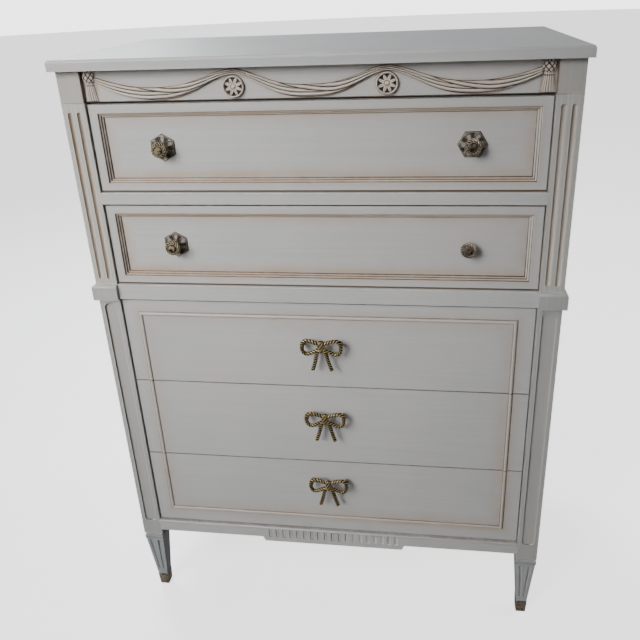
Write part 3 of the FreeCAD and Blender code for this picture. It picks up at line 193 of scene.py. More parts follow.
class TallboyStudio(bpy.types.PropertyGroup):
    """Camera and lights."""

    camera_place: bpy.props.FloatVectorProperty(
        name="Camera place", description="Where the photographer's eye stands",
        default=(0.18987, -1.33224, 1.37678), size=3, unit="LENGTH", subtype="XYZ")
    key_power: power("Key", "Soft window light from the left", 11.4)
    front_power: power("Front", "Even light from the room in front", 1.4)
    back_power: power("Back", "Window light from behind, on the top and the left side", 84.0)
    side_power: power("Side", "Even light on the right side and the back", 60.0)
    key_spread: angle("Key spread", "How wide the window light opens", math.radians(63))
    sky_power: bpy.props.FloatProperty(
        name="Sky", description="Strength of the even light all round", default=0.08, min=0.0)


# Node trees


class Tree:
    """A node tree under construction: each call adds a node and gives back its output."""

    def __init__(self, tree):
        self.tree = tree

    def add(self, kind, inputs=(), output=0, **settings):
        """Add a shader node with its settings and inputs; one of its outputs comes back."""
        node = self.tree.nodes.new("ShaderNode" + kind)
        for name, setting in settings.items():
            setattr(node, name, setting)
        for key, source in dict(inputs).items():
            self.plug(source, node.inputs[key])
        return node.outputs[output]

    def plug(self, source, socket):
        """Link a socket, or set its constant."""
        if isinstance(source, bpy.types.NodeSocket):
            self.tree.links.new(source, socket)
        elif socket.type == "RGBA":
            socket.default_value = tuple(source) + (1.0,) * (4 - len(source))
        else:
            socket.default_value = source

    def math(self, operation, first, second=0.0, clamp=False):
        """Any operation of the Math node."""
        return self.add("Math", {0: first, 1: second}, operation=operation, use_clamp=clamp)

    def vector(self, operation, first, second=(0.0, 0.0, 0.0), output=0):
        """Any operation of the Vector Math node."""
        return self.add("VectorMath", {0: first, 1: second}, output, operation=operation)

    def chain(self, operation, terms):
        """One operation over any number of terms, from the left."""
        total = terms[0]
        for term in terms[1:]:
            total = self.math(operation, total, term)
        return total

    def plus(self, *terms):
        """The sum of all terms."""
        return self.chain("ADD", terms)

    def times(self, *terms):
        """The product of all terms."""
        return self.chain("MULTIPLY", terms)

    def greatest(self, *terms):
        """The greatest of all terms."""
        return self.chain("MAXIMUM", terms)

    def least(self, *terms):
        """The least of all terms."""
        return self.chain("MINIMUM", terms)

    def minus(self, first, second, clamp=False):
        """The first value less the second."""
        return self.math("SUBTRACT", first, second, clamp)

    def size(self, value):
        """A value without its sign."""
        return self.math("ABSOLUTE", value)

    def fade(self, value, start, end, at_start=0.0, at_end=1.0):
        """A smooth change between two values of an input."""
        return self.add("MapRange", {"Value": value, "From Min": start, "From Max": end,
                                     "To Min": at_start, "To Max": at_end},
                        interpolation_type="SMOOTHSTEP")

    def fall(self, value, start, end):
        """One before a range of an input, nought beyond it."""
        return self.fade(value, start, end, 1.0, 0.0)

    def line(self, distance, at, half_width):
        """A thin line where a distance has one value."""
        return self.fall(self.size(self.minus(distance, at)), 0.0, half_width)

    def mix(self, factor, first, second):
        """A colour between two colours."""
        return self.add("Mix", {0: factor, 6: first, 7: second}, output=2, data_type="RGBA")

    def noise(self, vector, scale, detail, output=0):
        """Cloudy noise between nought and one; output 1 gives it as a colour."""
        return self.add("TexNoise", {"Vector": vector, "Scale": scale, "Detail": detail,
                                     "Roughness": 0.55}, output=output)

    def stored(self, name):
        """A number kept at each point of a mesh."""
        return self.add("Attribute", output=2, attribute_name=name)

    def axes(self, vector):
        """The x, y and z of a vector."""
        split = self.tree.nodes.new("ShaderNodeSeparateXYZ")
        self.plug(vector, split.inputs[0])
        return split.outputs

    def group(self, group, inputs):
        """Place a node group; its outputs come back by name."""
        node = self.tree.nodes.new("ShaderNodeGroup")
        node.node_tree = group
        for key, source in inputs.items():
            self.plug(source, node.inputs[key])
        return node.outputs


KINDS = {"colour": "NodeSocketColor", "mask": "NodeSocketFloat", "vector": "NodeSocketVector"}


def new_group(name, inputs, outputs):
    """An empty shader group with its sockets, and a function that ends it."""
    group = bpy.data.node_groups.new(name, "ShaderNodeTree")
    for direction, sockets in (("INPUT", inputs), ("OUTPUT", outputs)):
        for socket, kind in sockets.items():
            group.interface.new_socket(name=socket, in_out=direction, socket_type=KINDS[kind])
    tree = Tree(group)
    given = group.nodes.new("NodeGroupInput").outputs

    def end(results):
        """Join the results to the group's own outputs."""
        out = group.nodes.new("NodeGroupOutput")
        for key, source in results.items():
            tree.plug(source, out.inputs[key])
        return group

    return tree, given, end


def shared(name, make):
    """A node group by name, made on its first use."""
    return bpy.data.node_groups.get(name) or make(name)


def rectangle_group(name):
    """Distance inwards from an upright rectangle's sides, how low or right a place lies in it,
    and one beside its right side, minus one beside its left."""
    tree, given, end = new_group(name, {"Place": "vector", "Centre": "vector", "Half": "vector"},
                                 {"Inset": "mask", "Heavier": "mask", "Right": "mask"})
    off = tree.vector("SUBTRACT", given["Place"], given["Centre"])
    flat = tree.vector("ABSOLUTE", off)
    room = tree.axes(tree.vector("SUBTRACT", given["Half"], flat))
    inset = tree.least(room[0], room[2])
    part = tree.axes(tree.vector("DIVIDE", off, given["Half"]))
    lean = tree.minus(tree.times(part[0], 0.25), tree.times(part[2], 0.32))
    from_side = tree.minus(room[0], room[2])
    right = tree.times(tree.fall(from_side, -MM, MM),
                       tree.fade(part[0], -0.1, 0.1, -1.0, 1.0))
    return end({"Inset": inset, "Heavier": tree.plus(lean, 0.62), "Right": right})


def edge_group(name):
    """How near a place on a squared block is to one of the block's edges."""
    tree, given, end = new_group(name, {"Place": "vector", "Low": "vector", "High": "vector",
                                        "Width": "mask"}, {"Worn": "mask"})
    below = tree.vector("SUBTRACT", given["Place"], given["Low"])
    above = tree.vector("SUBTRACT", given["High"], given["Place"])
    near = tree.axes(tree.vector("MINIMUM", below, above))
    least = tree.least(near[0], near[1], near[2])
    most = tree.greatest(near[0], near[1], near[2])
    second = tree.minus(tree.plus(near[0], near[1], near[2]), tree.plus(least, most))
    patchy = tree.noise(given["Place"], 38.0, 4.0)
    reach = tree.times(given["Width"], tree.fade(patchy, 0.38, 0.68, 0.25, 1.9))
    pale_mask = tree.minus(1.0, tree.math("DIVIDE", second, reach), clamp=True)
    return end({"Worn": tree.math("POWER", pale_mask, 0.7)})


def paint_group(name):
    """Brushed grey paint under a wiped brown glaze, with rubbed edges, painted shade and painted
    highlight.
    """
    tree, given, end = new_group(
        name,
        {"Place": "vector", "Stroke": "vector", "Paint": "colour", "Glaze": "colour",
         "Stain": "colour", "Rubbed": "colour", "Deep": "mask", "Thin": "mask", "Worn": "mask"},
        {"Color": "colour", "Roughness": "mask", "Height": "mask"})
    place = given["Place"]
    strokes = tree.noise(tree.vector("MULTIPLY", place, given["Stroke"]), 1.0, 5.0)
    cloud = tree.noise(place, 3.2, 3.0)
    fine = tree.noise(place, 420.0, 2.0)
    tone = tree.plus(tree.fade(strokes, 0.3, 0.7, -0.035, 0.035),
                     tree.fade(cloud, 0.3, 0.7, -0.04, 0.04), 1.0)
    paint = tree.add("HueSaturation", {"Value": tone, "Color": given["Paint"]})
    patches = tree.noise(place, 24.0, 4.0)
    broken = tree.fade(tree.plus(tree.times(strokes, 0.6), tree.times(patches, 0.5)),
                       0.36, 0.72, 0.35, 1.15)
    wiped = tree.plus(tree.times(given["Thin"], broken), tree.fade(cloud, 0.45, 0.75, 0.0, 0.10))
    stained = tree.mix(tree.least(wiped, 0.9), paint, given["Stain"])
    # Pale paint where the pale mask is high: rubbed undercoat on worn edges and painted highlight
    # on lit walls and reeds.
    rubbed = tree.mix(tree.times(given["Worn"], 0.75), stained, given["Rubbed"])
    uneven = tree.fade(tree.noise(place, 60.0, 3.0), 0.3, 0.6, 0.76, 1.05)
    packed = tree.times(given["Deep"], uneven)
    # Brown where the deep mask is high: glaze in recesses and painted shade on shaded walls, reeds
    # and gaps.
    colour = tree.mix(packed, rubbed, given["Glaze"])
    sheen = tree.plus(0.40, tree.times(strokes, 0.10), tree.times(fine, 0.06),
                      tree.times(given["Deep"], 0.2))
    bumps = tree.plus(tree.times(strokes, 0.55), tree.times(fine, 0.12))
    return end({"Color": colour, "Roughness": sheen, "Height": bumps})


def metal_group(name):
    """Cast metal, bright where it is rubbed and dark brown where polish never reaches."""
    tree, given, end = new_group(
        name, {"Place": "vector", "Bright": "colour", "Dark": "colour", "Recess": "mask"},
        {"Color": "colour", "Roughness": "mask", "Height": "mask"})
    blotch = tree.noise(given["Place"], 160.0, 4.0)
    pits = tree.noise(given["Place"], 1100.0, 2.0)
    grime = tree.plus(given["Recess"], tree.fade(blotch, 0.42, 0.72, -0.12, 0.42))
    amount = tree.fade(grime, 0.15, 0.85)
    colour = tree.mix(amount, given["Bright"], given["Dark"])
    rough = tree.plus(tree.fade(blotch, 0.3, 0.7, 0.42, 0.54), tree.times(amount, 0.18))
    bumps = tree.plus(tree.times(pits, 0.5), tree.times(blotch, 0.5))
    return end({"Color": colour, "Roughness": rough, "Height": bumps})


def wood_group(name):
    """Sawn and sanded wood whose grain runs along the stretched axis."""
    tree, given, end = new_group(
        name, {"Place": "vector", "Grain": "vector", "Light": "colour", "Dark": "colour"},
        {"Color": "colour", "Roughness": "mask", "Height": "mask"})
    run = tree.vector("MULTIPLY", given["Place"], given["Grain"])
    bent = tree.vector("ADD", run, tree.noise(given["Place"], 2.0, 2.0, output=1))
    bands = tree.noise(bent, 1.0, 6.0)
    pores = tree.noise(run, 9.0, 3.0)
    amount = tree.plus(tree.fade(bands, 0.35, 0.68, 0.0, 0.75),
                       tree.fade(pores, 0.56, 0.7, 0.0, 0.35))
    colour = tree.mix(amount, given["Light"], given["Dark"])
    rough = tree.plus(0.58, tree.times(pores, 0.15))
    bumps = tree.plus(tree.times(bands, 0.4), tree.times(pores, 0.6))
    return end({"Color": colour, "Roughness": rough, "Height": bumps})


def new_material(name):
    """A material with its shader; the tree and its object coordinates come with it."""
    material = bpy.data.materials.new(name)
    material.use_nodes = True
    nodes = material.node_tree.nodes
    nodes.clear()
    tree = Tree(material.node_tree)
    shader = nodes.new("ShaderNodeBsdfPrincipled")
    end = nodes.new("ShaderNodeOutputMaterial")
    tree.plug(shader.outputs[0], end.inputs["Surface"])
    place = tree.add("TexCoord", output=3)
    return material, tree, shader.inputs, place


def surface(tree, shader, looks, depth, strength):
    """Colour, roughness and bump of a finish, into the shader."""
    tree.plug(looks["Color"], shader["Base Color"])
    tree.plug(looks["Roughness"], shader["Roughness"])
    bump = tree.add("Bump", {"Height": looks["Height"], "Distance": depth, "Strength": strength})
    tree.plug(bump, shader["Normal"])


# How closely brush strokes and grain are packed along x, y and z.
UPRIGHT = (150.0, 150.0, 3.0)
LEVEL = (3.0, 150.0, 170.0)
ALONG = (3.0, 120.0, 120.0)
EVERY_WAY = (60.0, 60.0, 60.0)
GRAIN_LEVEL = (2.5, 45.0, 45.0)
GRAIN_DEEP = (45.0, 2.5, 45.0)
GRAIN_UPRIGHT = (85.0, 85.0, 2.6)

# Recess of metal that keeps none at its points, and the width of a softened corner.
EVEN_RECESS = 0.25
EDGE = 0.8 * MM


def paint_material(name, node, stroke, recesses=None, base_stain=0.0, body=None, glaze=None):
    """Glazed paint for one piece; recesses(tree, place) gives its deep glaze with any painted
    shade, its thin glaze, and its pale mask of rubbed wear and painted highlight."""
    settings = bpy.context.scene.tallboy_paint
    material, tree, shader, place = new_material(name)
    # The third mask carries rubbed wear from the edges and painted highlight from the recess
    # functions.
    deep, thin, pale_mask = recesses(tree, place) if recesses else (0.0, 0.0, 0.0)
    if node:
        pale_mask = tree.plus(pale_mask, tree.group(shared("Rubbed edges", edge_group), {
            "Place": place, "Low": low(node), "High": high(node),
            "Width": settings.wear})["Worn"])
    if base_stain:
        thin = tree.plus(thin, base_stain)
    looks = tree.group(shared("Glazed paint", paint_group), {
        "Place": place, "Stroke": stroke, "Paint": body or settings.paint,
        "Glaze": glaze or settings.glaze, "Stain": settings.stain, "Rubbed": settings.rubbed,
        "Deep": deep, "Thin": thin, "Worn": pale_mask})
    surface(tree, shader, looks, 0.35 * MM, 0.5)
    shader["Coat Weight"].default_value = 0.15
    shader["Coat Roughness"].default_value = 0.3
    return material


def metal_looks(tree, place, bright, dark, recess):
    """The finish of cast metal, from the group that all metals share."""
    return tree.group(shared("Cast metal", metal_group),
                      {"Place": place, "Bright": bright, "Dark": dark, "Recess": recess})


def metal_material(name, bright, cast=False, dull=0.0):
    """Metal; a cast piece keeps its recess at its points, and dull roughens the metal and
    lets lacquer take the place of its mirror."""
    settings = bpy.context.scene.tallboy_brass
    material, tree, shader, place = new_material(name)
    recess = tree.stored("recess") if cast else EVEN_RECESS
    looks = metal_looks(tree, place, bright, settings.patina, recess)
    surface(tree, shader, looks, 0.2 * MM, 0.6)
    if dull:
        tree.plug(tree.plus(looks["Roughness"], dull), shader["Roughness"])
    shader["Metallic"].default_value = 1.0 - dull
    return material


def wood_material(name, grain):
    """Bare wood; grain says how closely its bands are packed along x, y and z."""
    settings = bpy.context.scene.tallboy_paint
    material, tree, shader, place = new_material(name)
    looks = tree.group(shared("Bare wood", wood_group), {
        "Place": place, "Grain": grain, "Light": settings.wood, "Dark": settings.dark_wood})
    surface(tree, shader, looks, 0.3 * MM, 0.5)
    return material


def dress(node, material, edge=EDGE):
    """Give a frame node its material, and soften its corners without touching its mesh."""
    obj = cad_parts[node]
    for slot in obj.material_slots:
        slot.material = material
    if edge:
        weld = obj.modifiers.new("Weld", "WELD")
        weld.merge_threshold = 0.01 * MM
        bevel = obj.modifiers.new("Edges", "BEVEL")
        bevel.width = edge
        bevel.segments = 2
        bevel.limit_method = "ANGLE"
        bevel.angle_limit = math.radians(50)
        bevel.harden_normals = True


# Where the glaze, the painted shade and the painted highlights lie on each piece


def rectangle(tree, place, centre, half):
    """Inset, heaviness and side of a place in a rectangle, from its shared group."""
    outputs = tree.group(shared("Rectangle inset", rectangle_group),
                         {"Place": place, "Centre": centre, "Half": half})
    return outputs["Inset"], outputs["Heavier"], outputs["Right"]


def near_face(tree, place, node):
    """One on a drawer's front face and just behind its edges, fading further back."""
    face = high(node).y - DRAWER_FRONT
    return tree.fall(tree.axes(place)[1], face + 1.2 * MM, face + 3.5 * MM)


def moulded_front(node):
    """Dark lines at the foot of each reed, a soft halo over the panel inside them,
    painted shade on the left reeds, a painted highlight on the right reeds and painted shadow at
    the edges.
    """
    settings = bpy.context.scene.tallboy_paint

    def recesses(tree, place):
        inset, heavier, right = rectangle(tree, place, middle(node), half_size(node))
        # left is one on the left run of reeds, which faces away from the light: its lines are
        # wider and darker as painted shade.
        left = tree.fall(right, -1.0, 0.0)
        lines = [tree.line(inset, at, settings.line) for at in REED_FEET[:2]]
        lines += [tree.times(tree.line(inset, at, settings.line * 1.7), left)
                  for at in REED_FEET]
        foot = tree.line(inset, REED_FEET[-1], settings.line * 1.5)
        outer, inner = REED_BAND
        reeds = tree.minus(tree.fade(inset, outer - MM, outer),
                           tree.fade(inset, inner, inner + MM))
        halo = tree.times(tree.fall(inset, inner, inner + settings.halo),
                          tree.fade(inset, inner - MM, inner))
        outside = tree.times(tree.fade(inset, outer - 10 * MM, outer),
                             tree.fall(inset, outer, outer + MM))
        x, _, z = tree.axes(place)
        far = tree.fade(x, -0.25, 0.3)
        deep = tree.times(tree.greatest(*lines, foot),
                          tree.plus(heavier, 0.15, tree.times(left, 0.6)))
        soft = tree.times(tree.plus(tree.times(halo, 0.95), tree.times(outside, 0.5)),
                          tree.plus(tree.times(heavier, 0.75), 0.3),
                          tree.fade(far, 0.0, 1.0, 1.0, 0.6))
        # Painted shade: a dark band over the left run of reeds.
        shade = tree.times(reeds, left, 0.38)
        # Painted highlight: the right run of reeds, which faces the light, is made pale, and a
        # little more towards the right of the case.
        pale = tree.times(reeds, tree.greatest(
            tree.fade(right, 0.0, 1.0, 0.0, 0.9), tree.times(far, 0.2)))
        foot_z = low(node).z
        # Painted shadow: dark along the front's edges, heaviest at its foot, where the gap round
        # the drawer lies in shade.
        rim = tree.greatest(tree.fade(inset, 0.5 * MM, 1.3 * MM, 0.9, 0.0),
                            tree.fade(z, foot_z + 2.4 * MM, foot_z + 3.4 * MM, 1.7, 0.0))
        rim = tree.times(rim, near_face(tree, place, node))
        on_reeds = tree.times(reeds, tree.fade(right, 0.0, 1.0, 0.95, 0.3),
                              tree.fade(far, 0.0, 1.0, 1.0, 0.9),
                              tree.fade(left, 0.0, 1.0, 1.0, 0.45))
        return tree.greatest(deep, shade, rim), \
            tree.plus(on_reeds, soft, tree.times(far, 0.09)), pale

    return recesses


def beaded_front(node):
    """The bead that runs round all three lower fronts, glazed along both its sides, with painted
    shadow at the front's edges.
    """
    settings = bpy.context.scene.tallboy_paint
    top = high("drawer_3_front").z - BEAD_HEAD
    foot = low("drawer_5_front").z + BEAD_FOOT
    half = Vector((high("drawer_3_front").x - BEAD_SIDE, 1.0, (top - foot) / 2))
    centre = Vector((0.0, 0.0, (top + foot) / 2))

    def recesses(tree, place):
        inset, heavier, _ = rectangle(tree, place, centre, half)
        edge, _, _ = rectangle(tree, place, middle(node), half_size(node))
        # Painted shadow: dark along the front's edges, where the gaps between the drawers lie in
        # shade.
        rim = tree.times(tree.fade(edge, 0.3 * MM, 0.9 * MM, 0.7, 0.0),
                         near_face(tree, place, node))
        sides = tree.greatest(
            tree.times(tree.line(inset, BEAD_HALF + 0.2 * MM, settings.line * 1.3), 0.8),
            tree.line(inset, -BEAD_HALF - 0.5 * MM, settings.line * 1.9))
        bead = tree.line(inset, 0.0, BEAD_HALF * 1.15)
        inner = tree.times(tree.fall(inset, 0.0, settings.halo * 1.5),
                           tree.fade(inset, -1.0 * MM, 1.0 * MM))
        outer = tree.times(tree.fade(inset, -24.0 * MM, -2.0 * MM),
                           tree.fall(inset, -1.0 * MM, 1.0 * MM))
        deep = tree.times(sides, tree.plus(tree.times(heavier, 0.4), 0.6))
        wiped = tree.plus(tree.times(bead, 0.35), tree.times(inner, 0.75),
                          tree.times(outer, 0.85))
        thin = tree.plus(tree.times(wiped, tree.plus(tree.times(heavier, 0.35), 0.33)), 0.05)
        return tree.greatest(deep, rim), thin, tree.times(bead, 0.3)

    return recesses


def head_seam(tree, z, node):
    """Glaze packed into the seam over a piece."""
    return tree.times(tree.line(z, high(node).z, 1.6 * MM), 0.55)


def sunk(node, face, depth, half_width, foot, head, stain, wall_shading, border=0.0):
    """Glaze in whatever is sunk below a front face, within a band of the node, with painted shade
    on its left wall and a painted highlight on its right wall.
    """
    centre = middle(node).x

    def recesses(tree, place):
        x, y, z = tree.axes(place)
        off = tree.minus(x, centre)
        aside = tree.size(off)
        down = tree.fade(y, face + 0.3 * MM, face + depth * 0.8)
        within = tree.times(tree.fall(y, face + depth, face + depth + 0.6 * MM),
                            tree.fall(aside, half_width, half_width + 0.4 * MM),
                            tree.fade(z, foot - 1.0 * MM, foot),
                            tree.fall(z, head, head + 1.0 * MM))
        thin = tree.times(down, within, stain)
        wall = tree.times(within, tree.fade(y, face + 0.2 * MM, face + 0.5 * MM),
                          tree.fall(y, face + depth - 0.7 * MM, face + depth - 0.3 * MM))
        # Painted highlight on the right wall and painted shade on the left wall, scaled by the
        # wall strength.
        lit = tree.times(wall, tree.fade(off, 0.0, half_width * 0.5))
        shaded = tree.times(wall, tree.fall(off, 0.0, half_width * 0.5))
        deep = tree.greatest(head_seam(tree, z, node), tree.times(shaded, wall_shading))
        if not border:
            return deep, thin, tree.times(lit, wall_shading)
        # Painted shadow: a dark line on the floor beside the left wall, scaled by border.
        corner = tree.times(down, within, tree.line(off, -half_width, 2.4 * MM))
        # Pale lines along both straight borders: rubbed paint, laid also as painted highlight on
        # the panel's edges.
        straight = tree.times(tree.fall(y, face + 0.1 * MM, face + 0.5 * MM),
                              tree.fade(z, foot + 12.0 * MM, foot + 13.0 * MM),
                              tree.fall(z, head - 14.0 * MM, head - 13.0 * MM))
        rubbed = tree.times(straight, tree.line(aside, half_width + 0.9 * MM, 1.6 * MM))
        return tree.greatest(deep, tree.times(corner, border)), thin, \
            tree.greatest(lit, tree.times(rubbed, border))

    return recesses


def fluted(node):
    """Two flutes with glaze inside, painted shade on the left wall, a painted highlight on the
    right wall, and borders rubbed pale.
    """
    centre = middle(node).x
    face = low(node).y

    def recesses(tree, place):
        x, y, z = tree.axes(place)
        off = tree.minus(x, centre)
        across = tree.minus(off, tree.times(tree.math("SIGN", off), FLUTE_SPACING / 2))
        near = tree.size(across)
        inside = tree.times(tree.fade(y, face + 0.1 * MM, face + 0.5 * MM),
                            tree.fall(y, face + 4.7 * MM, face + 5.3 * MM),
                            tree.fall(near, FLUTE_RADIUS + 0.2 * MM, FLUTE_RADIUS + 0.6 * MM))
        # Painted shade: the glaze is darkest at the left wall and fades to the middle; the thin
        # glaze leans to the left as well.
        deep = tree.times(inside, tree.fade(across, -FLUTE_RADIUS, 0.4 * MM, 0.36, 0.06))
        thin = tree.times(inside, tree.fade(across, -FLUTE_RADIUS, FLUTE_RADIUS, 0.80, 0.35))
        border = tree.times(tree.line(near, FLUTE_RADIUS + 0.9 * MM, 1.7 * MM),
                            tree.fall(y, face + 0.1 * MM, face + 0.5 * MM))
        # Painted highlight on the right wall.
        lit = tree.times(inside, tree.fade(across, FLUTE_RADIUS * 0.2, FLUTE_RADIUS, 0.0, 0.9))
        return tree.greatest(deep, head_seam(tree, z, node)), thin, \
            tree.greatest(lit, tree.times(border, 0.5))

    return recesses


def frieze_glaze(levels):
    """Glaze wiped round the swag, the wheels and the tassels, and into the top corner, with
    painted shadow along the foot;
    levels(x) gives the heights of the swag's lower and upper edge."""
    settings = bpy.context.scene.tallboy_carving
    foot = low("frieze_panel").z
    head = high("frieze_panel").z
    wheel, reach = bay_ends()
    wheel_z = middle("frieze_rosettes").z
    steps = 24

    def recesses(tree, place):
        x, _, z = tree.axes(place)
        side = tree.size(x)
        edges = []
        for which in (0, 1):
            node = tree.tree.nodes.new("ShaderNodeFloatCurve")
            tree.plug(tree.math("DIVIDE", side, reach), node.inputs["Value"])
            curve = node.mapping.curves[0]
            for number in range(steps + 1):
                at = number / steps
                level = levels(at * reach)[which] / (head - foot)
                if number in (0, steps):
                    curve.points[0 if number == 0 else -1].location = (at, level)
                else:
                    curve.points.new(at, level)
            node.mapping.update()
            edges.append(tree.plus(tree.times(node.outputs[0], head - foot), foot))
        off = tree.greatest(tree.minus(edges[0], z), tree.minus(z, edges[1]))
        to_wheel = tree.add("CombineXYZ", {0: tree.minus(side, wheel), 1: 0.0,
                                           2: tree.minus(z, wheel_z)})
        round_wheel = tree.minus(tree.vector("LENGTH", to_wheel, output=1),
                                 settings.wheel_radius)
        tassel = tree.minus(reach, side)
        carving = tree.least(off, round_wheel)
        nearest = tree.least(carving, tassel)
        corner = tree.minus(head, z)
        halo = tree.greatest(tree.fade(nearest, 0.0, 7.0 * MM, 0.5, 0.0),
                             tree.fade(corner, 0.0, 9.0 * MM, 0.45, 0.0))
        # Painted shadow: a dark band along the frieze's foot, over the gap to the top drawer.
        deep = tree.greatest(tree.fade(carving, 0.2 * MM, 1.3 * MM, 0.6, 0.0),
                             tree.fade(z, foot + 1.0 * MM, foot + 2.0 * MM, 1.5, 0.0),
                             tree.fade(tassel, 0.2 * MM, 1.4 * MM, 0.3, 0.0),
                             tree.fade(corner, 0.0, 1.6 * MM, 0.5, 0.0))
        return deep, halo, 0.0

    return recesses


def seam_glaze(at, width):
    """Glaze packed into the upright seams at one distance to both sides of the middle."""

    def recesses(tree, place):
        off = tree.size(tree.minus(tree.size(tree.axes(place)[0]), at))
        deep = tree.fade(off, 0.0, width, 0.9, 0.0)
        thin = tree.fade(off, 0.0, width * 5, 0.5, 0.0)
        return deep, thin, 0.0

    return recesses


def leg_glaze(node):
    """Flutes that narrow towards the floor, and the turned-in neck over the shaft."""
    centre = middle(node).x

    def recesses(tree, place):
        x, y, z = tree.axes(place)
        off = tree.size(tree.minus(x, centre))
        spread = tree.fade(z, *LEG_FLUTES, 4.9 * MM, 9.8 * MM)
        wide = tree.fade(z, *LEG_FLUTES, 2.2 * MM, 3.9 * MM)
        from_flute = tree.size(tree.minus(off, spread))
        flute = tree.fall(tree.minus(from_flute, wide), -0.6 * MM, 0.3 * MM)
        long = tree.times(tree.fade(z, 50.0 * MM, 53.0 * MM),
                          tree.fall(z, 150.0 * MM, 153.0 * MM))
        front = tree.fall(y, low(node).y + 14.0 * MM, low(node).y + 16.0 * MM)
        neck = tree.line(z, 163.0 * MM, 4.5 * MM)
        thin = tree.plus(tree.times(flute, long, front, 0.2), tree.times(neck, 0.4))
        return tree.times(neck, 0.35), thin, 0.0

    return recesses


# Carved and cast surfaces


class Surface:
    """The skin of one piece, with how deep in a recess each of its points lies."""

    def __init__(self):
        self.points = []
        self.recess = []
        self.faces = []

    def grid(self, rows, columns, place, wrap=False, close=""):
        """A skin over place(row share, column share), which gives a point and its recess;
        wrap joins the last column to the first, close puts a lid on the start or the end."""
        first = len(self.points)
        across = columns if wrap else columns + 1
        for row in range(rows + 1):
            for column in range(across):
                point, recess = place(row / rows, column / columns)
                self.points.append(Vector(point))
                self.recess.append(min(max(recess, 0.0), 1.0))
        for row in range(rows):
            for column in range(columns):
                here = first + row * across + column
                beside = first + row * across + (column + 1) % across
                self.faces.append((here, beside, beside + across, here + across))
        if "s" in close:
            self.faces.append(tuple(first + column for column in reversed(range(across))))
        if "e" in close:
            last = first + rows * across
            self.faces.append(tuple(last + column for column in range(across)))

    def build(self, name, material):
        """A smooth object of this skin, with the recess kept at its points."""
        mesh = bpy.data.meshes.new(name)
        mesh.from_pydata([tuple(point) for point in self.points], [], self.faces)
        mesh.validate()
        attribute = mesh.attributes.new("recess", "FLOAT", "POINT")
        attribute.data.foreach_set("value", self.recess)
        mesh.shade_smooth()
        mesh.materials.append(material)
        mesh.update()
        obj = bpy.data.objects.new(name, mesh)
        bpy.context.collection.objects.link(obj)
        return obj


def put(obj, body, node):
    """A finished piece takes its place: it rides on its body, and the frame node it stands for is
    hidden.
    """
    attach(obj, body)
    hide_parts(node)


def blend(first, second, part):
    """A value part of the way from the first to the second."""
    return first + (second - first) * part


def eased(part):
    """A share from nought to one that starts and ends gently."""
    part = min(max(part, 0.0), 1.0)
    return part * part * (3 - 2 * part)


def bump_at(value, centre, width):
    """A smooth hill of height one."""
    return math.exp(-((value - centre) / width) ** 2)


def on_profile(profile, along):
    """Row of a profile that a share of its length falls on, and the values there."""
    spot = along * (len(profile) - 1)
    number = min(int(spot), len(profile) - 2)
    rows = zip(profile[number], profile[number + 1])
    return spot, [blend(one, two, spot - number) for one, two in rows]


def lobes(turn, number):
    """One on the crest of each lobe of a fluted round, nought in the grooves between."""
    return abs(math.cos(turn * number / 2))


def carved_material(name):
    """Warm paint on the carving, with near black glaze where its recess is deep."""
    settings = bpy.context.scene.tallboy_paint

    def recesses(tree, place):
        recess = tree.stored("recess")
        return tree.fade(recess, 0.36, 0.80), tree.fade(recess, 0.05, 0.5, 0.08, 0.85), \
            tree.fade(recess, 0.0, 0.12, 0.25, 0.0)

    return paint_material(name, None, EVERY_WAY, recesses,
                          body=settings.warm_paint, glaze=settings.carving_glaze)


def bay_ends():
    """How far from the middle the bays of the swag end: over a wheel, and at a tassel."""
    radius = bpy.context.scene.tallboy_carving.wheel_radius
    return high("frieze_rosettes").x - radius, high("drapery_swag").x


def swag_levels(x):
    """Heights of the swag's lower and upper edge above the foot of the frieze."""
    settings = bpy.context.scene.tallboy_carving
    crown, end = bay_ends()
    lowest = blend(crown, end, 0.602)
    low_pair = (settings.low_foot, settings.low_top)
    if abs(x) <= lowest:
        high_pair = (settings.crown_foot, settings.crown_top)
        run = abs(x) / crown if abs(x) < crown else (lowest - abs(x)) / (lowest - crown)
        climb = eased(run ** 1.45)
    else:
        high_pair = (settings.end_foot, settings.end_top)
        climb = min((abs(x) - lowest) / (end - lowest), 1.0) ** 1.85
    return [blend(start, stop, climb) for start, stop in zip(low_pair, high_pair)]


# Where a bay's second set of folds crosses over the first, as a part of the bay and a part
# across it, and how many folds lie side by side.
CROSSING = ((0.0, 1.3), (0.30, 1.0), (0.46, 0.66), (0.68, 0.26), (0.90, 0.0), (1.0, -0.08))
FOLDS = 2.9


def fold_at(x, across):
    """Crest of the fold at a place on the swag, its height, and the crease where sets cross."""
    crown, end = bay_ends()
    left, right = (-crown, crown) if abs(x) < crown else (crown, end) if x > 0 else (-end, -crown)
    part = (x - left) / (right - left)
    for (start, low_line), (stop, high_line) in zip(CROSSING, CROSSING[1:]):
        if start <= part <= stop:
            crossing = blend(low_line, high_line, (part - start) / (stop - start))
            break
    wander = 0.035 * math.sin(9.0 * part + 4.0 * across) + 0.02 * math.sin(31.0 * x)
    if across > crossing:
        lane = (across - crossing) * FOLDS + wander
        lift = 1.0
    else:
        lane = across * FOLDS + 0.10 + wander - 0.5 * part * (1.0 - across)
        lift = 0.84
    crest = abs(math.sin(math.pi * lane)) ** 0.5
    crease = bump_at(across, crossing - 0.02, 0.045)
    return crest, lift, crease


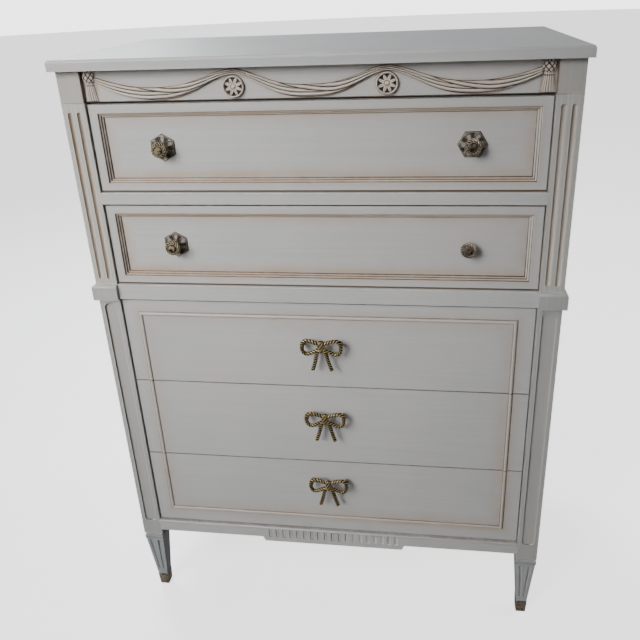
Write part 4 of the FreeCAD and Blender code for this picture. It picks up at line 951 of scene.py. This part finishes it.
class TALLBOY_OT_swag(bpy.types.Operator):
    """Carve the drapery that hangs in three bays across the frieze"""

    bl_idname = "tallboy.swag"
    bl_label = "Drapery swag"

    def execute(self, context):
        settings = context.scene.tallboy_carving
        reach = high("drapery_swag").x
        foot = low("frieze_panel").z
        face = high("drapery_swag").y
        along_steps, across_steps = 320, 75

        def place(along, across):
            x = blend(-reach, reach, along)
            lower, upper = swag_levels(x)
            crest, lift, crease = fold_at(x, across)
            rim = min(across, 1 - across)
            crest = min(crest, eased(rim / 0.05) ** 0.5)
            stand = blend(0.12, 1.0, crest) * lift - 0.3 * crease
            recess = max((1 - eased((crest - 0.30) / 0.52)), 0.8 * crease,
                         0.8 * (1 - eased(rim / 0.045)))
            if across in (0.0, 1.0):
                stand = 0.0
            y = face - settings.relief * max(stand, 0.0)
            return (x, y, foot + blend(lower, upper, across)), recess

        def behind(along, across):
            """The flat back, on the frieze."""
            x = blend(-reach, reach, along)
            return (x, face, foot + blend(*swag_levels(x), 1 - across)), 1.0

        skin = Surface()
        skin.grid(along_steps, across_steps, place)
        skin.grid(along_steps, 1, behind)
        put(skin.build("carved_swag", carved_material("Carved swag")), "case", "drapery_swag")
        return {"FINISHED"}


class TALLBOY_OT_wheels(bpy.types.Operator):
    """Carve the two small wheels under the crowns of the swag"""

    bl_idname = "tallboy.wheels"
    bl_label = "Wheels"

    def execute(self, context):
        settings = context.scene.tallboy_carving
        radius = settings.wheel_radius
        centre_z = middle("frieze_rosettes").z
        face = high("frieze_rosettes").y
        petals = settings.petals
        skin = Surface()

        def relief(part, turn):
            """Height of the wheel and its recess at a share of its radius."""
            off = (turn * petals / (2 * math.pi)) % 1.0 - 0.5
            rim = math.sqrt(max(0.0, 1 - ((part - 0.90) / 0.10) ** 2))
            gap = 0.0
            if part > 0.3:
                gap = eased((abs(off) - 0.5 + 0.42 * (part - 0.28) / 0.5) / 0.07)
                gap *= eased((0.82 - part) / 0.05)
            petal = 0.62 - 0.22 * bump_at(off, 0.0, 0.05)
            boss = 0.96 * math.sqrt(max(0.0, 1 - (part / 0.21) ** 2))
            ring = bump_at(part, 0.24, 0.03)
            height = max(petal * (1 - 0.8 * gap) - 0.25 * ring, boss, rim)
            recess = max(gap, ring * 0.8, 0.6 * bump_at(off, 0.0, 0.035) * (part < 0.75),
                         bump_at(part, 0.805, 0.018) * 0.9, bump_at(part, 1.0, 0.012))
            return height * settings.wheel_relief, recess

        for side in (-1, 1):
            centre_x = side * (high("frieze_rosettes").x - radius)

            def place(part, around):
                turn = 2 * math.pi * around
                height, recess = relief(part, turn)
                if part == 1.0:
                    height = 0.0
                return (centre_x + math.cos(turn) * radius * part, face - height,
                        centre_z + math.sin(turn) * radius * part), recess

            skin.grid(44, 160, place, wrap=True)
        obj = skin.build("carved_wheels", carved_material("Carved wheels"))
        put(obj, "case", "frieze_rosettes")
        return {"FINISHED"}


class TALLBOY_OT_tassels(bpy.types.Operator):
    """Carve a woven knot with a skirt of cords at each end of the swag"""

    bl_idname = "tallboy.tassels"
    bl_label = "Tassels"

    def execute(self, context):
        settings = context.scene.tallboy_carving
        foot = low("frieze_panel").z
        face = high("frieze_tassels").y
        knot = settings.knot_radius
        deepest = face - low("frieze_tassels").y
        skin = Surface()
        for side in (-1, 1):
            centre_x = side * (high("frieze_tassels").x - knot)
            centre_z = foot + settings.knot_height

            def outline(around):
                """Less than one at the two sides, where a tassel meets the frieze."""
                return 0.40 + 0.60 * eased(min(around, 1 - around) / 0.10)

            def woven(up, around):
                """The knot."""
                lift = math.pi * (up - 0.5)
                turn = math.pi * around
                one = abs(math.sin(3.5 * turn + 3.2 * lift))
                two = abs(math.sin(3.5 * turn - 3.2 * lift))
                weave = min(one, two) ** 0.5
                swell = 0.84 + 0.16 * weave
                out = math.cos(lift)
                return (centre_x - math.cos(turn) * knot * out * swell,
                        face - math.sin(turn) * deepest * out * swell,
                        centre_z + math.sin(lift) * knot * swell), \
                    1 - eased((weave - 0.50) / 0.26) * outline(around)

            def skirt(down, around):
                """The cords under the knot."""
                turn = math.pi * around
                wide = blend(settings.skirt_neck, settings.skirt_width, down ** 0.8) / 2
                thick = blend(0.48, 0.66, math.sin(math.pi * min(down * 1.2, 1.0)))
                thick *= deepest
                cord = lobes(turn, 2 * settings.cords)
                fine = lobes(turn, 6 * settings.cords)
                swell = 0.72 + 0.25 * cord ** 0.6 + 0.03 * fine
                top = settings.knot_height - knot * 0.86
                ragged = 0.8 * MM * math.sin(around * 37.0)
                level = blend(top, 2.6 * MM + max(ragged, 0.0), down)
                pinch = 1.0 + 0.18 * bump_at(down, 0.04, 0.05)
                return (centre_x - math.cos(turn) * wide * swell * pinch,
                        face - math.sin(turn) * thick * swell * pinch,
                        foot + level), max(1 - eased(cord / 0.75) * outline(around),
                                           0.9 * bump_at(down, 0.12, 0.03))

            skin.grid(64, 96, woven)
            skin.grid(30, 112, skirt, close="se")
        obj = skin.build("carved_tassels", carved_material("Carved tassels"))
        put(obj, "case", "frieze_tassels")
        return {"FINISHED"}


# Share of a knob's reach, share of its radius, depth of the gadroons there, and dirt.
KNOB_PROFILE = (
    (0.0, 0.46, 0.0, 0.0), (0.06, 0.46, 0.0, 0.0), (0.10, 0.40, 0.0, 0.0),
    (0.36, 0.38, 0.0, 0.0), (0.42, 0.52, 0.3, 0.0), (0.46, 0.80, 0.8, 0.0),
    (0.53, 0.95, 1.0, 0.0), (0.62, 1.0, 1.0, 0.0), (0.71, 0.97, 1.0, 0.0),
    (0.79, 0.90, 1.0, 0.0), (0.845, 0.82, 1.0, 0.0), (0.865, 0.745, 1.0, 0.0),
    (0.85, 0.685, 0.5, 0.7), (0.80, 0.655, 0.0, 1.0), (0.87, 0.635, 0.0, 0.0),
    (0.89, 0.605, 0.0, 0.0), (0.885, 0.575, 0.0, 0.0), (0.84, 0.55, 0.0, 0.8),
    (0.80, 0.52, 0.0, 1.0), (0.86, 0.485, 0.0, 0.9), (0.94, 0.455, 0.0, 0.0),
    (0.98, 0.39, 0.0, 0.0), (0.995, 0.22, 0.0, 0.0), (1.0, 0.02, 0.0, 0.0))
KNOB_NECK = 0.42
DOME_ROW = 20


class TALLBOY_OT_knobs(bpy.types.Operator):
    """Cast the four round knobs with twisted gadroons"""

    bl_idname = "tallboy.knobs"
    bl_label = "Knobs"

    def execute(self, context):
        settings = context.scene.tallboy_brass
        metals = {
            "left": metal_material("Knob brass", settings.knob, True, 0.14),
            "right": metal_material("Darker knob brass", settings.dull_knob, True, 0.06)}
        dome_recess = {"left": 0.52, "right": 0.66}
        for drawer in (1, 2):
            for word in ("left", "right"):
                node = "drawer_{}_{}_knob".format(drawer, word)
                corner, far = low(node), high(node)
                centre = (corner + far) / 2
                reach = far.y - corner.y
                radius = (far.z - corner.z) / 2
                skin = Surface()

                def place(along, around):
                    row, (level, wide, cut, dirt) = on_profile(KNOB_PROFILE, along)
                    turn = 2 * math.pi * around
                    twist = turn + settings.gadroon_turn * ((level - 0.6) / 0.3 + 1 - wide)
                    crest = lobes(twist, settings.gadroons)
                    out = radius * wide * (1 - 0.11 * cut * (1 - crest ** 0.7))
                    level -= 0.07 * cut * (1 - crest ** 0.7)
                    recess = max(1.1 * cut * (1 - eased((crest - 0.38) / 0.44)), dirt)
                    if level < KNOB_NECK:
                        recess = 0.85
                    if row > DOME_ROW:
                        recess = dome_recess[word]
                    petal = 0.06 * lobes(turn, 6) * bump_at(level, 0.94, 0.05)
                    return (centre.x + math.cos(turn) * out, far.y - reach * (level - petal * 0.3),
                            centre.z + math.sin(turn) * out), recess

                skin.grid((len(KNOB_PROFILE) - 1) * 3, 180, place, wrap=True, close="se")
                put(skin.build(node + "_cast", metals[word]), "drawer_{}".format(drawer), node)
        return {"FINISHED"}


# A pierced petal of a knob plate: how far out its middle lies, its half length, half width.
PETAL_OUT = 15.2 * MM
PETAL_LONG = 5.4 * MM
PETAL_WIDE = 3.7 * MM


class TALLBOY_OT_plates(bpy.types.Operator):
    """Cast the hexagonal plates with their pierced petals"""

    bl_idname = "tallboy.plates"
    bl_label = "Knob plates"

    def execute(self, context):
        settings = context.scene.tallboy_brass
        metal = self.metal(settings)
        for node, body, lean in (("drawer_1_left_plate", "drawer_1", math.pi / 6),
                                 ("drawer_1_right_plate", "drawer_1", 0.0),
                                 ("drawer_2_left_plate", "drawer_2", math.pi / 6)):
            corner, far = low(node), high(node)
            centre = (corner + far) / 2
            thick = far.y - corner.y
            across = min(far.x - corner.x, far.z - corner.z)
            skin = Surface()

            def place(part, around):
                turn = 2 * math.pi * around
                side = (turn - lean) % (math.pi / 3) - math.pi / 6
                reach = across / 2 / math.cos(side)
                r = reach * part
                leaf = self.leaf(r, turn - lean)
                open_petal = 1 - eased((leaf - 0.85) / 0.2)
                ridge = bump_at(leaf, 1.22, 0.22)
                rope = 0.9 + 0.1 * lobes(turn + part * 2, 60)
                rim = bump_at(part, 0.93, 0.045) * rope
                height = 0.42 + 0.58 * max(rim, ridge * 0.8) - 0.36 * open_petal
                height += 0.10 * lobes(turn - lean + math.pi / 6, 12) * bump_at(part, 0.45, 0.12)
                if part == 1.0:
                    height = 0.0
                recess = 0.85 - 0.75 * max(rim, ridge)
                if open_petal > 0.5:
                    recess = 1.0 if leaf > 0.9 else 0.0
                return (centre.x + math.cos(turn) * r, far.y - thick * min(height, 1.0),
                        centre.z + math.sin(turn) * r), recess

            skin.grid(60, 240, place, wrap=True)
            obj = skin.build(node + "_cast", metal)
            shown = obj.data.attributes.new("paint_shown", "FLOAT", "POINT")
            shown.data.foreach_set("value", [self.shown(point - centre, lean)
                                             for point in skin.points])
            put(obj, body, node)
        return {"FINISHED"}

    @staticmethod
    def leaf(r, turn):
        """How far out of the nearest petal a place lies: one on the petal's outline."""
        side = (turn + math.pi / 6) % (math.pi / 3) - math.pi / 6
        ahead = r * math.cos(side) - PETAL_OUT
        wide = PETAL_WIDE * (1 + 0.35 * ahead / PETAL_LONG)
        return math.hypot(ahead / PETAL_LONG, r * math.sin(side) / max(wide, 0.5 * MM))

    def shown(self, off, lean):
        """One where a petal is cut through and the painted panel shows."""
        leaf = self.leaf(math.hypot(off.x, off.z), math.atan2(off.z, off.x) - lean)
        return 1.0 if leaf < 0.92 else 0.0

    @staticmethod
    def metal(settings):
        """Patinated metal, with the panel's shaded paint at the bottom of each petal."""
        material, tree, shader, place = new_material("Plate metal")
        shown = tree.stored("paint_shown")
        looks = metal_looks(tree, place, settings.pewter, settings.plate_patina,
                            tree.stored("recess"))
        surface(tree, shader, looks, 0.2 * MM, 1.0)
        tree.plug(tree.mix(shown, looks["Color"], settings.petal_fill), shader["Base Color"])
        tree.plug(tree.minus(0.9, shown, clamp=True), shader["Metallic"])
        return material


def smooth_path(corners, steps):
    """Points evenly spread along a smooth line through a few corners."""
    spots = [Vector(corner) for corner in corners]
    ends = [spots[0] * 2 - spots[1]] + spots + [spots[-1] * 2 - spots[-2]]
    fine, fine_steps = [], 24
    for number in range(1, len(ends) - 2):
        one, two, three, four = ends[number - 1:number + 3]
        for step in range(fine_steps):
            t = step / fine_steps
            fine.append(0.5 * (two * 2 + (three - one) * t
                               + (one * 2 - two * 5 + three * 4 - four) * t * t
                               + (two * 3 - one - three * 3 + four) * t ** 3))
    fine.append(spots[-1])
    runs = [0.0]
    for before, after in zip(fine, fine[1:]):
        runs.append(runs[-1] + (after - before).length)
    points, at = [], 0
    for step in range(steps + 1):
        run = runs[-1] * step / steps
        while at < len(runs) - 2 and runs[at + 1] < run:
            at += 1
        part = (run - runs[at]) / max(runs[at + 1] - runs[at], 1e-9)
        points.append(fine[at].lerp(fine[at + 1], min(part, 1.0)))
    return points, runs[-1]


# Paths of a bow's right loop and right tail, in millimetres from the middle of its knot.
LOOP = ((3.0, 0.0, 6.5), (12.0, 0.0, 9.4), (23.0, 0.0, 12.9), (31.5, 0.0, 13.4),
        (37.4, 0.0, 9.6), (39.4, 0.0, 2.4), (39.2, 0.0, -5.5), (36.6, 0.0, -12.2),
        (30.8, 0.0, -16.0), (24.0, 0.0, -15.0), (14.0, 0.0, -10.2), (3.0, 0.0, -5.0))
TAIL = ((3.5, 0.0, -6.0), (8.0, -0.4, -12.0), (11.0, 0.0, -23.0), (14.4, 0.0, -37.0),
        (19.5, 0.0, -53.2))
# How far the rope's middle stands off a front, how far down a tail's path ends, and the
# tail's radius below that end.
ROPE_STAND = 20.0 * MM
TAIL_DROP = 53.5 * MM
TAIL_RADIUS = 3.4 * MM
# A turned foot behind a loop: share of its length and radius in millimetres.
POST_PROFILE = ((0.0, 3.2), (0.1, 3.4), (0.62, 3.4), (0.74, 3.0), (0.80, 4.0), (0.90, 4.0),
                (1.0, 4.0))
POST_OUT = 38.1 * MM
POST_DROP = 1.5 * MM
# Half the width, the depth and the height of the wrapped knot.
KNOT_HALF = Vector((7.4, 5.4, 12.0)) * MM


class TALLBOY_OT_bows(bpy.types.Operator):
    """Cast the three rope bows"""

    bl_idname = "tallboy.bows"
    bl_label = "Rope bows"

    def execute(self, context):
        settings = context.scene.tallboy_brass
        metal = metal_material("Bow brass", settings.brass, cast=True)
        for drawer in (3, 4, 5):
            node = "drawer_{}_bow_pull".format(drawer)
            corner, far = low(node), high(node)
            # The middle of the knot: the tails reach down to the foot of the node.
            origin = Vector(((corner.x + far.x) / 2, far.y - ROPE_STAND,
                             corner.z + TAIL_DROP + TAIL_RADIUS))
            skin = Surface()
            for side in (-1, 1):
                self.rope(skin, origin, self.path(LOOP, side), settings, 96, side)
                self.rope(skin, origin, self.path(TAIL, side), settings, 56, side, close="se")
                self.post(skin, origin, side, far.y)
            self.knot(skin, origin)
            put(skin.build(node + "_cast", metal), "drawer_{}".format(drawer), node)
        return {"FINISHED"}

    @staticmethod
    def path(corners, side):
        """A path in metres, mirrored for the left side."""
        return [(side * x * MM, y * MM, z * MM) for x, y, z in corners]

    @staticmethod
    def rope(skin, origin, corners, settings, steps, side, close=""):
        """A tube of twisted strands along a path in the plane of the bow."""
        points, run = smooth_path(corners, steps * 2)
        strands = settings.strands
        last = len(points) - 1
        ways = [(points[min(n + 1, last)] - points[max(n - 1, 0)]).normalized()
                for n in range(last + 1)]

        def place(along, around):
            number = round(along * last)
            way = ways[number]
            out = Vector((0.0, -1.0, 0.0))
            across = way.cross(out).normalized()
            turn = 2 * math.pi * around
            crest = lobes(turn - side * 2 * math.pi * run * along / settings.rope_pitch, strands)
            reach = settings.rope_radius * (0.60 + 0.40 * crest ** 0.7)
            spot = points[number] + (across * math.cos(turn) + out * math.sin(turn)) * reach
            return origin + spot, 1.4 - 1.4 * eased((crest - 0.58) / 0.40)

        skin.grid(last, 30, place, wrap=True, close=close)

    @staticmethod
    def post(skin, origin, side, face):
        """A turned foot behind the outer side of a loop."""
        reach = face - origin.y

        def place(along, around):
            _, (level, wide) = on_profile(POST_PROFILE, along)
            turn = 2 * math.pi * around
            return (origin.x + side * POST_OUT + math.cos(turn) * wide * MM,
                    origin.y + reach * level,
                    origin.z - POST_DROP - math.sin(turn) * wide * MM), 0.55

        skin.grid((len(POST_PROFILE) - 1) * 2, 24, place, wrap=True, close="se")

    @staticmethod
    def knot(skin, origin):
        """The wrapped knot: cords drawn tight over a barrel, pinched at both ends."""

        def place(up, around):
            turn = 2 * math.pi * around
            swell = 0.58 + 0.42 * math.sin(math.pi * min(max(up, 0.02), 0.98)) ** 0.45
            crest = lobes(turn + 2.6 * (up - 0.5), 6)
            swell *= 0.80 + 0.20 * crest ** 0.6
            return (origin.x + math.cos(turn) * KNOT_HALF.x * swell,
                    origin.y - math.sin(turn) * KNOT_HALF.y * swell,
                    origin.z + blend(-KNOT_HALF.z, KNOT_HALF.z, up)), \
                1.1 - 1.15 * eased((crest - 0.30) / 0.6)

        skin.grid(28, 84, place, wrap=True, close="se")


# Paint, wood and metal for the frame's own nodes


def painted(node, stroke, glaze=None, **finish):
    """Dress a frame node in paint that is named after it."""
    dress(node, paint_material(node.replace("_", " "), node, stroke, glaze, **finish))


class TALLBOY_OT_case(bpy.types.Operator):
    """Paint the case: top, sides, posts, blocks, rails and apron"""

    bl_idname = "tallboy.case"
    bl_label = "Painted case"

    def execute(self, context):
        colours = context.scene.tallboy_paint
        dress("top_board", paint_material("Top paint", "top_board", ALONG), edge=0)
        for word in ("left", "right"):
            painted(word + "_side_panel", UPRIGHT)
            node = word + "_upper_post"
            painted(node, UPRIGHT, fluted(node), body=colours.post_paint)
            node = word + "_lower_post"
            panel = sunk(node, low(node).y, 4.0 * MM, 13.4 * MM, low(node).z + 40 * MM,
                         high(node).z - 8 * MM, 0.12, 0.7, 0.7)
            painted(node, UPRIGHT, panel, body=colours.block_paint)
        dress("frieze_panel", paint_material("Frieze paint", "frieze_panel", LEVEL,
                                             frieze_glaze(swag_levels),
                                             body=colours.frieze_paint))
        seam = seam_glaze(high("frieze_panel").x, 1.6 * MM)
        dress("cap_blocks", paint_material("Cap block paint", "cap_blocks", UPRIGHT, seam,
                                           body=colours.shaded_cap_paint))
        for node in ("waist_rail", "upper_drawer_rail"):
            painted(node, LEVEL, base_stain=0.03)
        dress("waist_blocks", paint_material("Waist block paint", "waist_blocks", UPRIGHT,
                                             body=colours.block_paint))
        apron = "apron_rail"
        corner = low(apron)
        flutes = sunk(apron, corner.y + 3.0 * MM, 2.2 * MM, 151.0 * MM, corner.z + 10.0 * MM,
                      corner.z + 38.0 * MM, 0.12, 0.7)
        dress(apron, paint_material("Apron paint", apron, LEVEL, flutes, base_stain=0.03),
              edge=EDGE / 2)
        return {"FINISHED"}


class TALLBOY_OT_drawer_fronts(bpy.types.Operator):
    """Paint and glaze the five drawer fronts"""

    bl_idname = "tallboy.drawer_fronts"
    bl_label = "Drawer fronts"

    def execute(self, context):
        for number in range(1, 6):
            node = "drawer_{}_front".format(number)
            glaze = moulded_front(node) if number < 3 else beaded_front(node)
            dress(node, paint_material("Drawer {} paint".format(number), node, LEVEL, glaze),
                  edge=0)
        return {"FINISHED"}


class TALLBOY_OT_legs(bpy.types.Operator):
    """Paint the legs and finish their brass feet"""

    bl_idname = "tallboy.legs"
    bl_label = "Legs and feet"

    def execute(self, context):
        for end in ("front", "rear"):
            for side in ("left", "right"):
                node = "{}_{}_leg".format(end, side)
                glaze = leg_glaze(node) if end == "front" else None
                dress(node, paint_material(node.replace("_", " "), None, UPRIGHT, glaze,
                                           body=context.scene.tallboy_paint.leg_paint),
                      edge=0.5 * MM)
        brass = metal_material("Foot brass", context.scene.tallboy_brass.foot)
        dress("leg_ferrules", brass, edge=0.3 * MM)
        return {"FINISHED"}


class TALLBOY_OT_bare_wood(bpy.types.Operator):
    """Bare wood for what the paint doesn't reach, and steel for the screws"""

    bl_idname = "tallboy.bare_wood"
    bl_label = "Bare wood and screws"

    def execute(self, context):
        level = wood_material("Level wood", GRAIN_LEVEL)
        deep = wood_material("Drawer side wood", GRAIN_DEEP)
        upright = wood_material("Back wood", GRAIN_UPRIGHT)
        for node, wood in (("back_panel", upright), ("rear_corner_blocks", upright),
                           ("dust_boards", level), ("drawer_guides", deep)):
            dress(node, wood, edge=0.6 * MM)
        steel = metal_material("Screw steel", context.scene.tallboy_brass.steel)
        for number in range(1, 6):
            name = "drawer_{}".format(number)
            dress(name + "_sides", deep, edge=0.6 * MM)
            dress(name + "_back", level, edge=0.6 * MM)
            dress(name + "_bottom", level, edge=0)
            dress(name + "_screws", steel, edge=0)
        return {"FINISHED"}


# Lamps: name, place, target, width, height, the setting of their power, colour.
LAMPS = (
    ("window_left", (-1.15, -1.65, 1.88), (-0.3, -0.2, 0.9), 1.5, 1.5, "key_power",
     (1.0, 0.99, 0.98)),
    ("room_front", (-0.9, -3.45, 2.25), (0.0, 0.0, 0.8), 2.8, 2.2, "front_power",
     (0.97, 0.985, 1.0)),
    ("window_back", (-1.6, 1.6, 2.6), (-0.2, 0.1, 1.27), 1.6, 1.4, "back_power",
     (0.93, 0.97, 1.0)),
    ("room_right", (3.2, 0.9, 1.7), (0.4, 0.1, 0.8), 2.4, 2.0, "side_power",
     (1.0, 0.985, 0.97)))
# The photographer's eye: its axes in the room, its lens in millimetres, its shift.
EYE_RIGHT = Vector((0.99155446, 0.12355643, -0.0394152))
EYE_DOWN = Vector((0.01022769, -0.37746694, -0.92596658))
EYE_AHEAD = Vector((-0.12928706, 0.91774317, -0.37554272))
EYE_LENS = 36.50
EYE_SHIFT = (-0.0220, -0.1111)
FLOOR_RADIUS = 30.0


class TALLBOY_OT_studio(bpy.types.Operator):
    """Set up the floor, the light and the camera"""

    bl_idname = "tallboy.studio"
    bl_label = "Studio"

    def execute(self, context):
        settings = context.scene.tallboy_studio
        self.floor()
        self.lights(context, settings)
        self.camera(context, settings)
        return {"FINISHED"}

    @staticmethod
    def floor():
        """A wide floor, pale to the eye and grey to the light that it gives back."""
        material, tree, shader, place = new_material("Studio floor")
        speckle = tree.noise(place, 2.0, 4.0)
        seen = tree.add("LightPath")
        pale = tree.mix(tree.fade(speckle, 0.3, 0.7), (0.86, 0.86, 0.86), (0.89, 0.89, 0.885))
        tree.plug(tree.mix(seen, (0.30, 0.30, 0.30), pale), shader["Base Color"])
        shader["Emission Color"].default_value = (1.0, 1.0, 1.0, 1.0)
        tree.plug(tree.times(seen, 1.7), shader["Emission Strength"])
        tree.plug(tree.plus(0.6, tree.times(speckle, 0.1)), shader["Roughness"])
        skin = Surface()

        def place_on_floor(out, around):
            """A round floor whose rings lie closer near the middle."""
            turn = 2 * math.pi * around
            reach = 0.01 + FLOOR_RADIUS * out ** 2
            return (math.cos(turn) * reach, math.sin(turn) * reach, 0.0), 0.0

        skin.grid(12, 64, place_on_floor, wrap=True, close="s")
        skin.build("studio_floor", material)

    @staticmethod
    def lights(context, settings):
        """The lamps, and the even light all round."""
        for name, place, target, wide, tall, strength, colour in LAMPS:
            light = bpy.data.lights.new(name, "AREA")
            light.shape = "RECTANGLE"
            light.size = wide
            light.size_y = tall
            if name == "window_left":
                light.spread = settings.key_spread
            light.energy = getattr(settings, strength)
            light.color = colour
            obj = bpy.data.objects.new(name, light)
            obj.location = place
            way = Vector(target) - Vector(place)
            obj.rotation_euler = way.to_track_quat("-Z", "Y").to_euler()
            context.collection.objects.link(obj)
        world = bpy.data.worlds.new("Studio")
        world.use_nodes = True
        tree = Tree(world.node_tree)
        seen = tree.add("LightPath")
        shade = world.node_tree.nodes["Background"]
        tree.plug(tree.mix(seen, (0.93, 0.955, 1.0), (1.0, 1.0, 1.0)), shade.inputs["Color"])
        tree.plug(tree.fade(seen, 0.0, 1.0, settings.sky_power, 3.4), shade.inputs["Strength"])
        context.scene.world = world

    @staticmethod
    def camera(context, settings):
        """The camera, where the photographer's eye stands."""
        camera = bpy.data.cameras.new("photo_view")
        camera.sensor_width = 36.0
        camera.lens = EYE_LENS
        camera.shift_x, camera.shift_y = EYE_SHIFT
        camera.clip_end = 60.0
        obj = bpy.data.objects.new("photo_view", camera)
        turn = Matrix((EYE_RIGHT, -EYE_DOWN, -EYE_AHEAD)).transposed().to_4x4()
        obj.matrix_world = Matrix.Translation(Vector(settings.camera_place)) @ turn
        context.collection.objects.link(obj)
        context.scene.camera = obj


class TALLBOY_PT_panel(bpy.types.Panel):
    """Steps that dress the tallboy, in order"""

    bl_idname = "TALLBOY_PT_panel"
    bl_label = "Painted tallboy"
    bl_space_type = "VIEW_3D"
    bl_region_type = "UI"
    bl_category = "Tallboy"

    def draw(self, context):
        column = self.layout.column()
        for step in STEPS:
            column.operator(step.bl_idname)
        for group in SETTINGS:
            settings = getattr(context.scene, group)
            box = self.layout.box()
            for name in settings.__annotations__:
                box.prop(settings, name)


STEPS = (TALLBOY_OT_case, TALLBOY_OT_drawer_fronts, TALLBOY_OT_legs, TALLBOY_OT_bare_wood,
         TALLBOY_OT_swag, TALLBOY_OT_wheels, TALLBOY_OT_tassels, TALLBOY_OT_knobs,
         TALLBOY_OT_plates, TALLBOY_OT_bows, TALLBOY_OT_studio)
SETTINGS = {"tallboy_paint": TallboyPaint, "tallboy_carving": TallboyCarving,
            "tallboy_brass": TallboyBrass, "tallboy_studio": TallboyStudio}


def register():
    for group, kind in SETTINGS.items():
        bpy.utils.register_class(kind)
        setattr(bpy.types.Scene, group, bpy.props.PointerProperty(type=kind))
    for step in STEPS + (TALLBOY_PT_panel,):
        bpy.utils.register_class(step)


def unregister():
    for step in reversed(STEPS + (TALLBOY_PT_panel,)):
        bpy.utils.unregister_class(step)
    for group, kind in SETTINGS.items():
        delattr(bpy.types.Scene, group)
        bpy.utils.unregister_class(kind)


def main():
    """Dress the frame step by step."""
    register()
    bpy.ops.tallboy.case()
    bpy.ops.tallboy.drawer_fronts()
    bpy.ops.tallboy.legs()
    bpy.ops.tallboy.bare_wood()
    bpy.ops.tallboy.swag()
    bpy.ops.tallboy.wheels()
    bpy.ops.tallboy.tassels()
    bpy.ops.tallboy.knobs()
    bpy.ops.tallboy.plates()
    bpy.ops.tallboy.bows()
    bpy.ops.tallboy.studio()


if __name__ == "__main__":
    main()
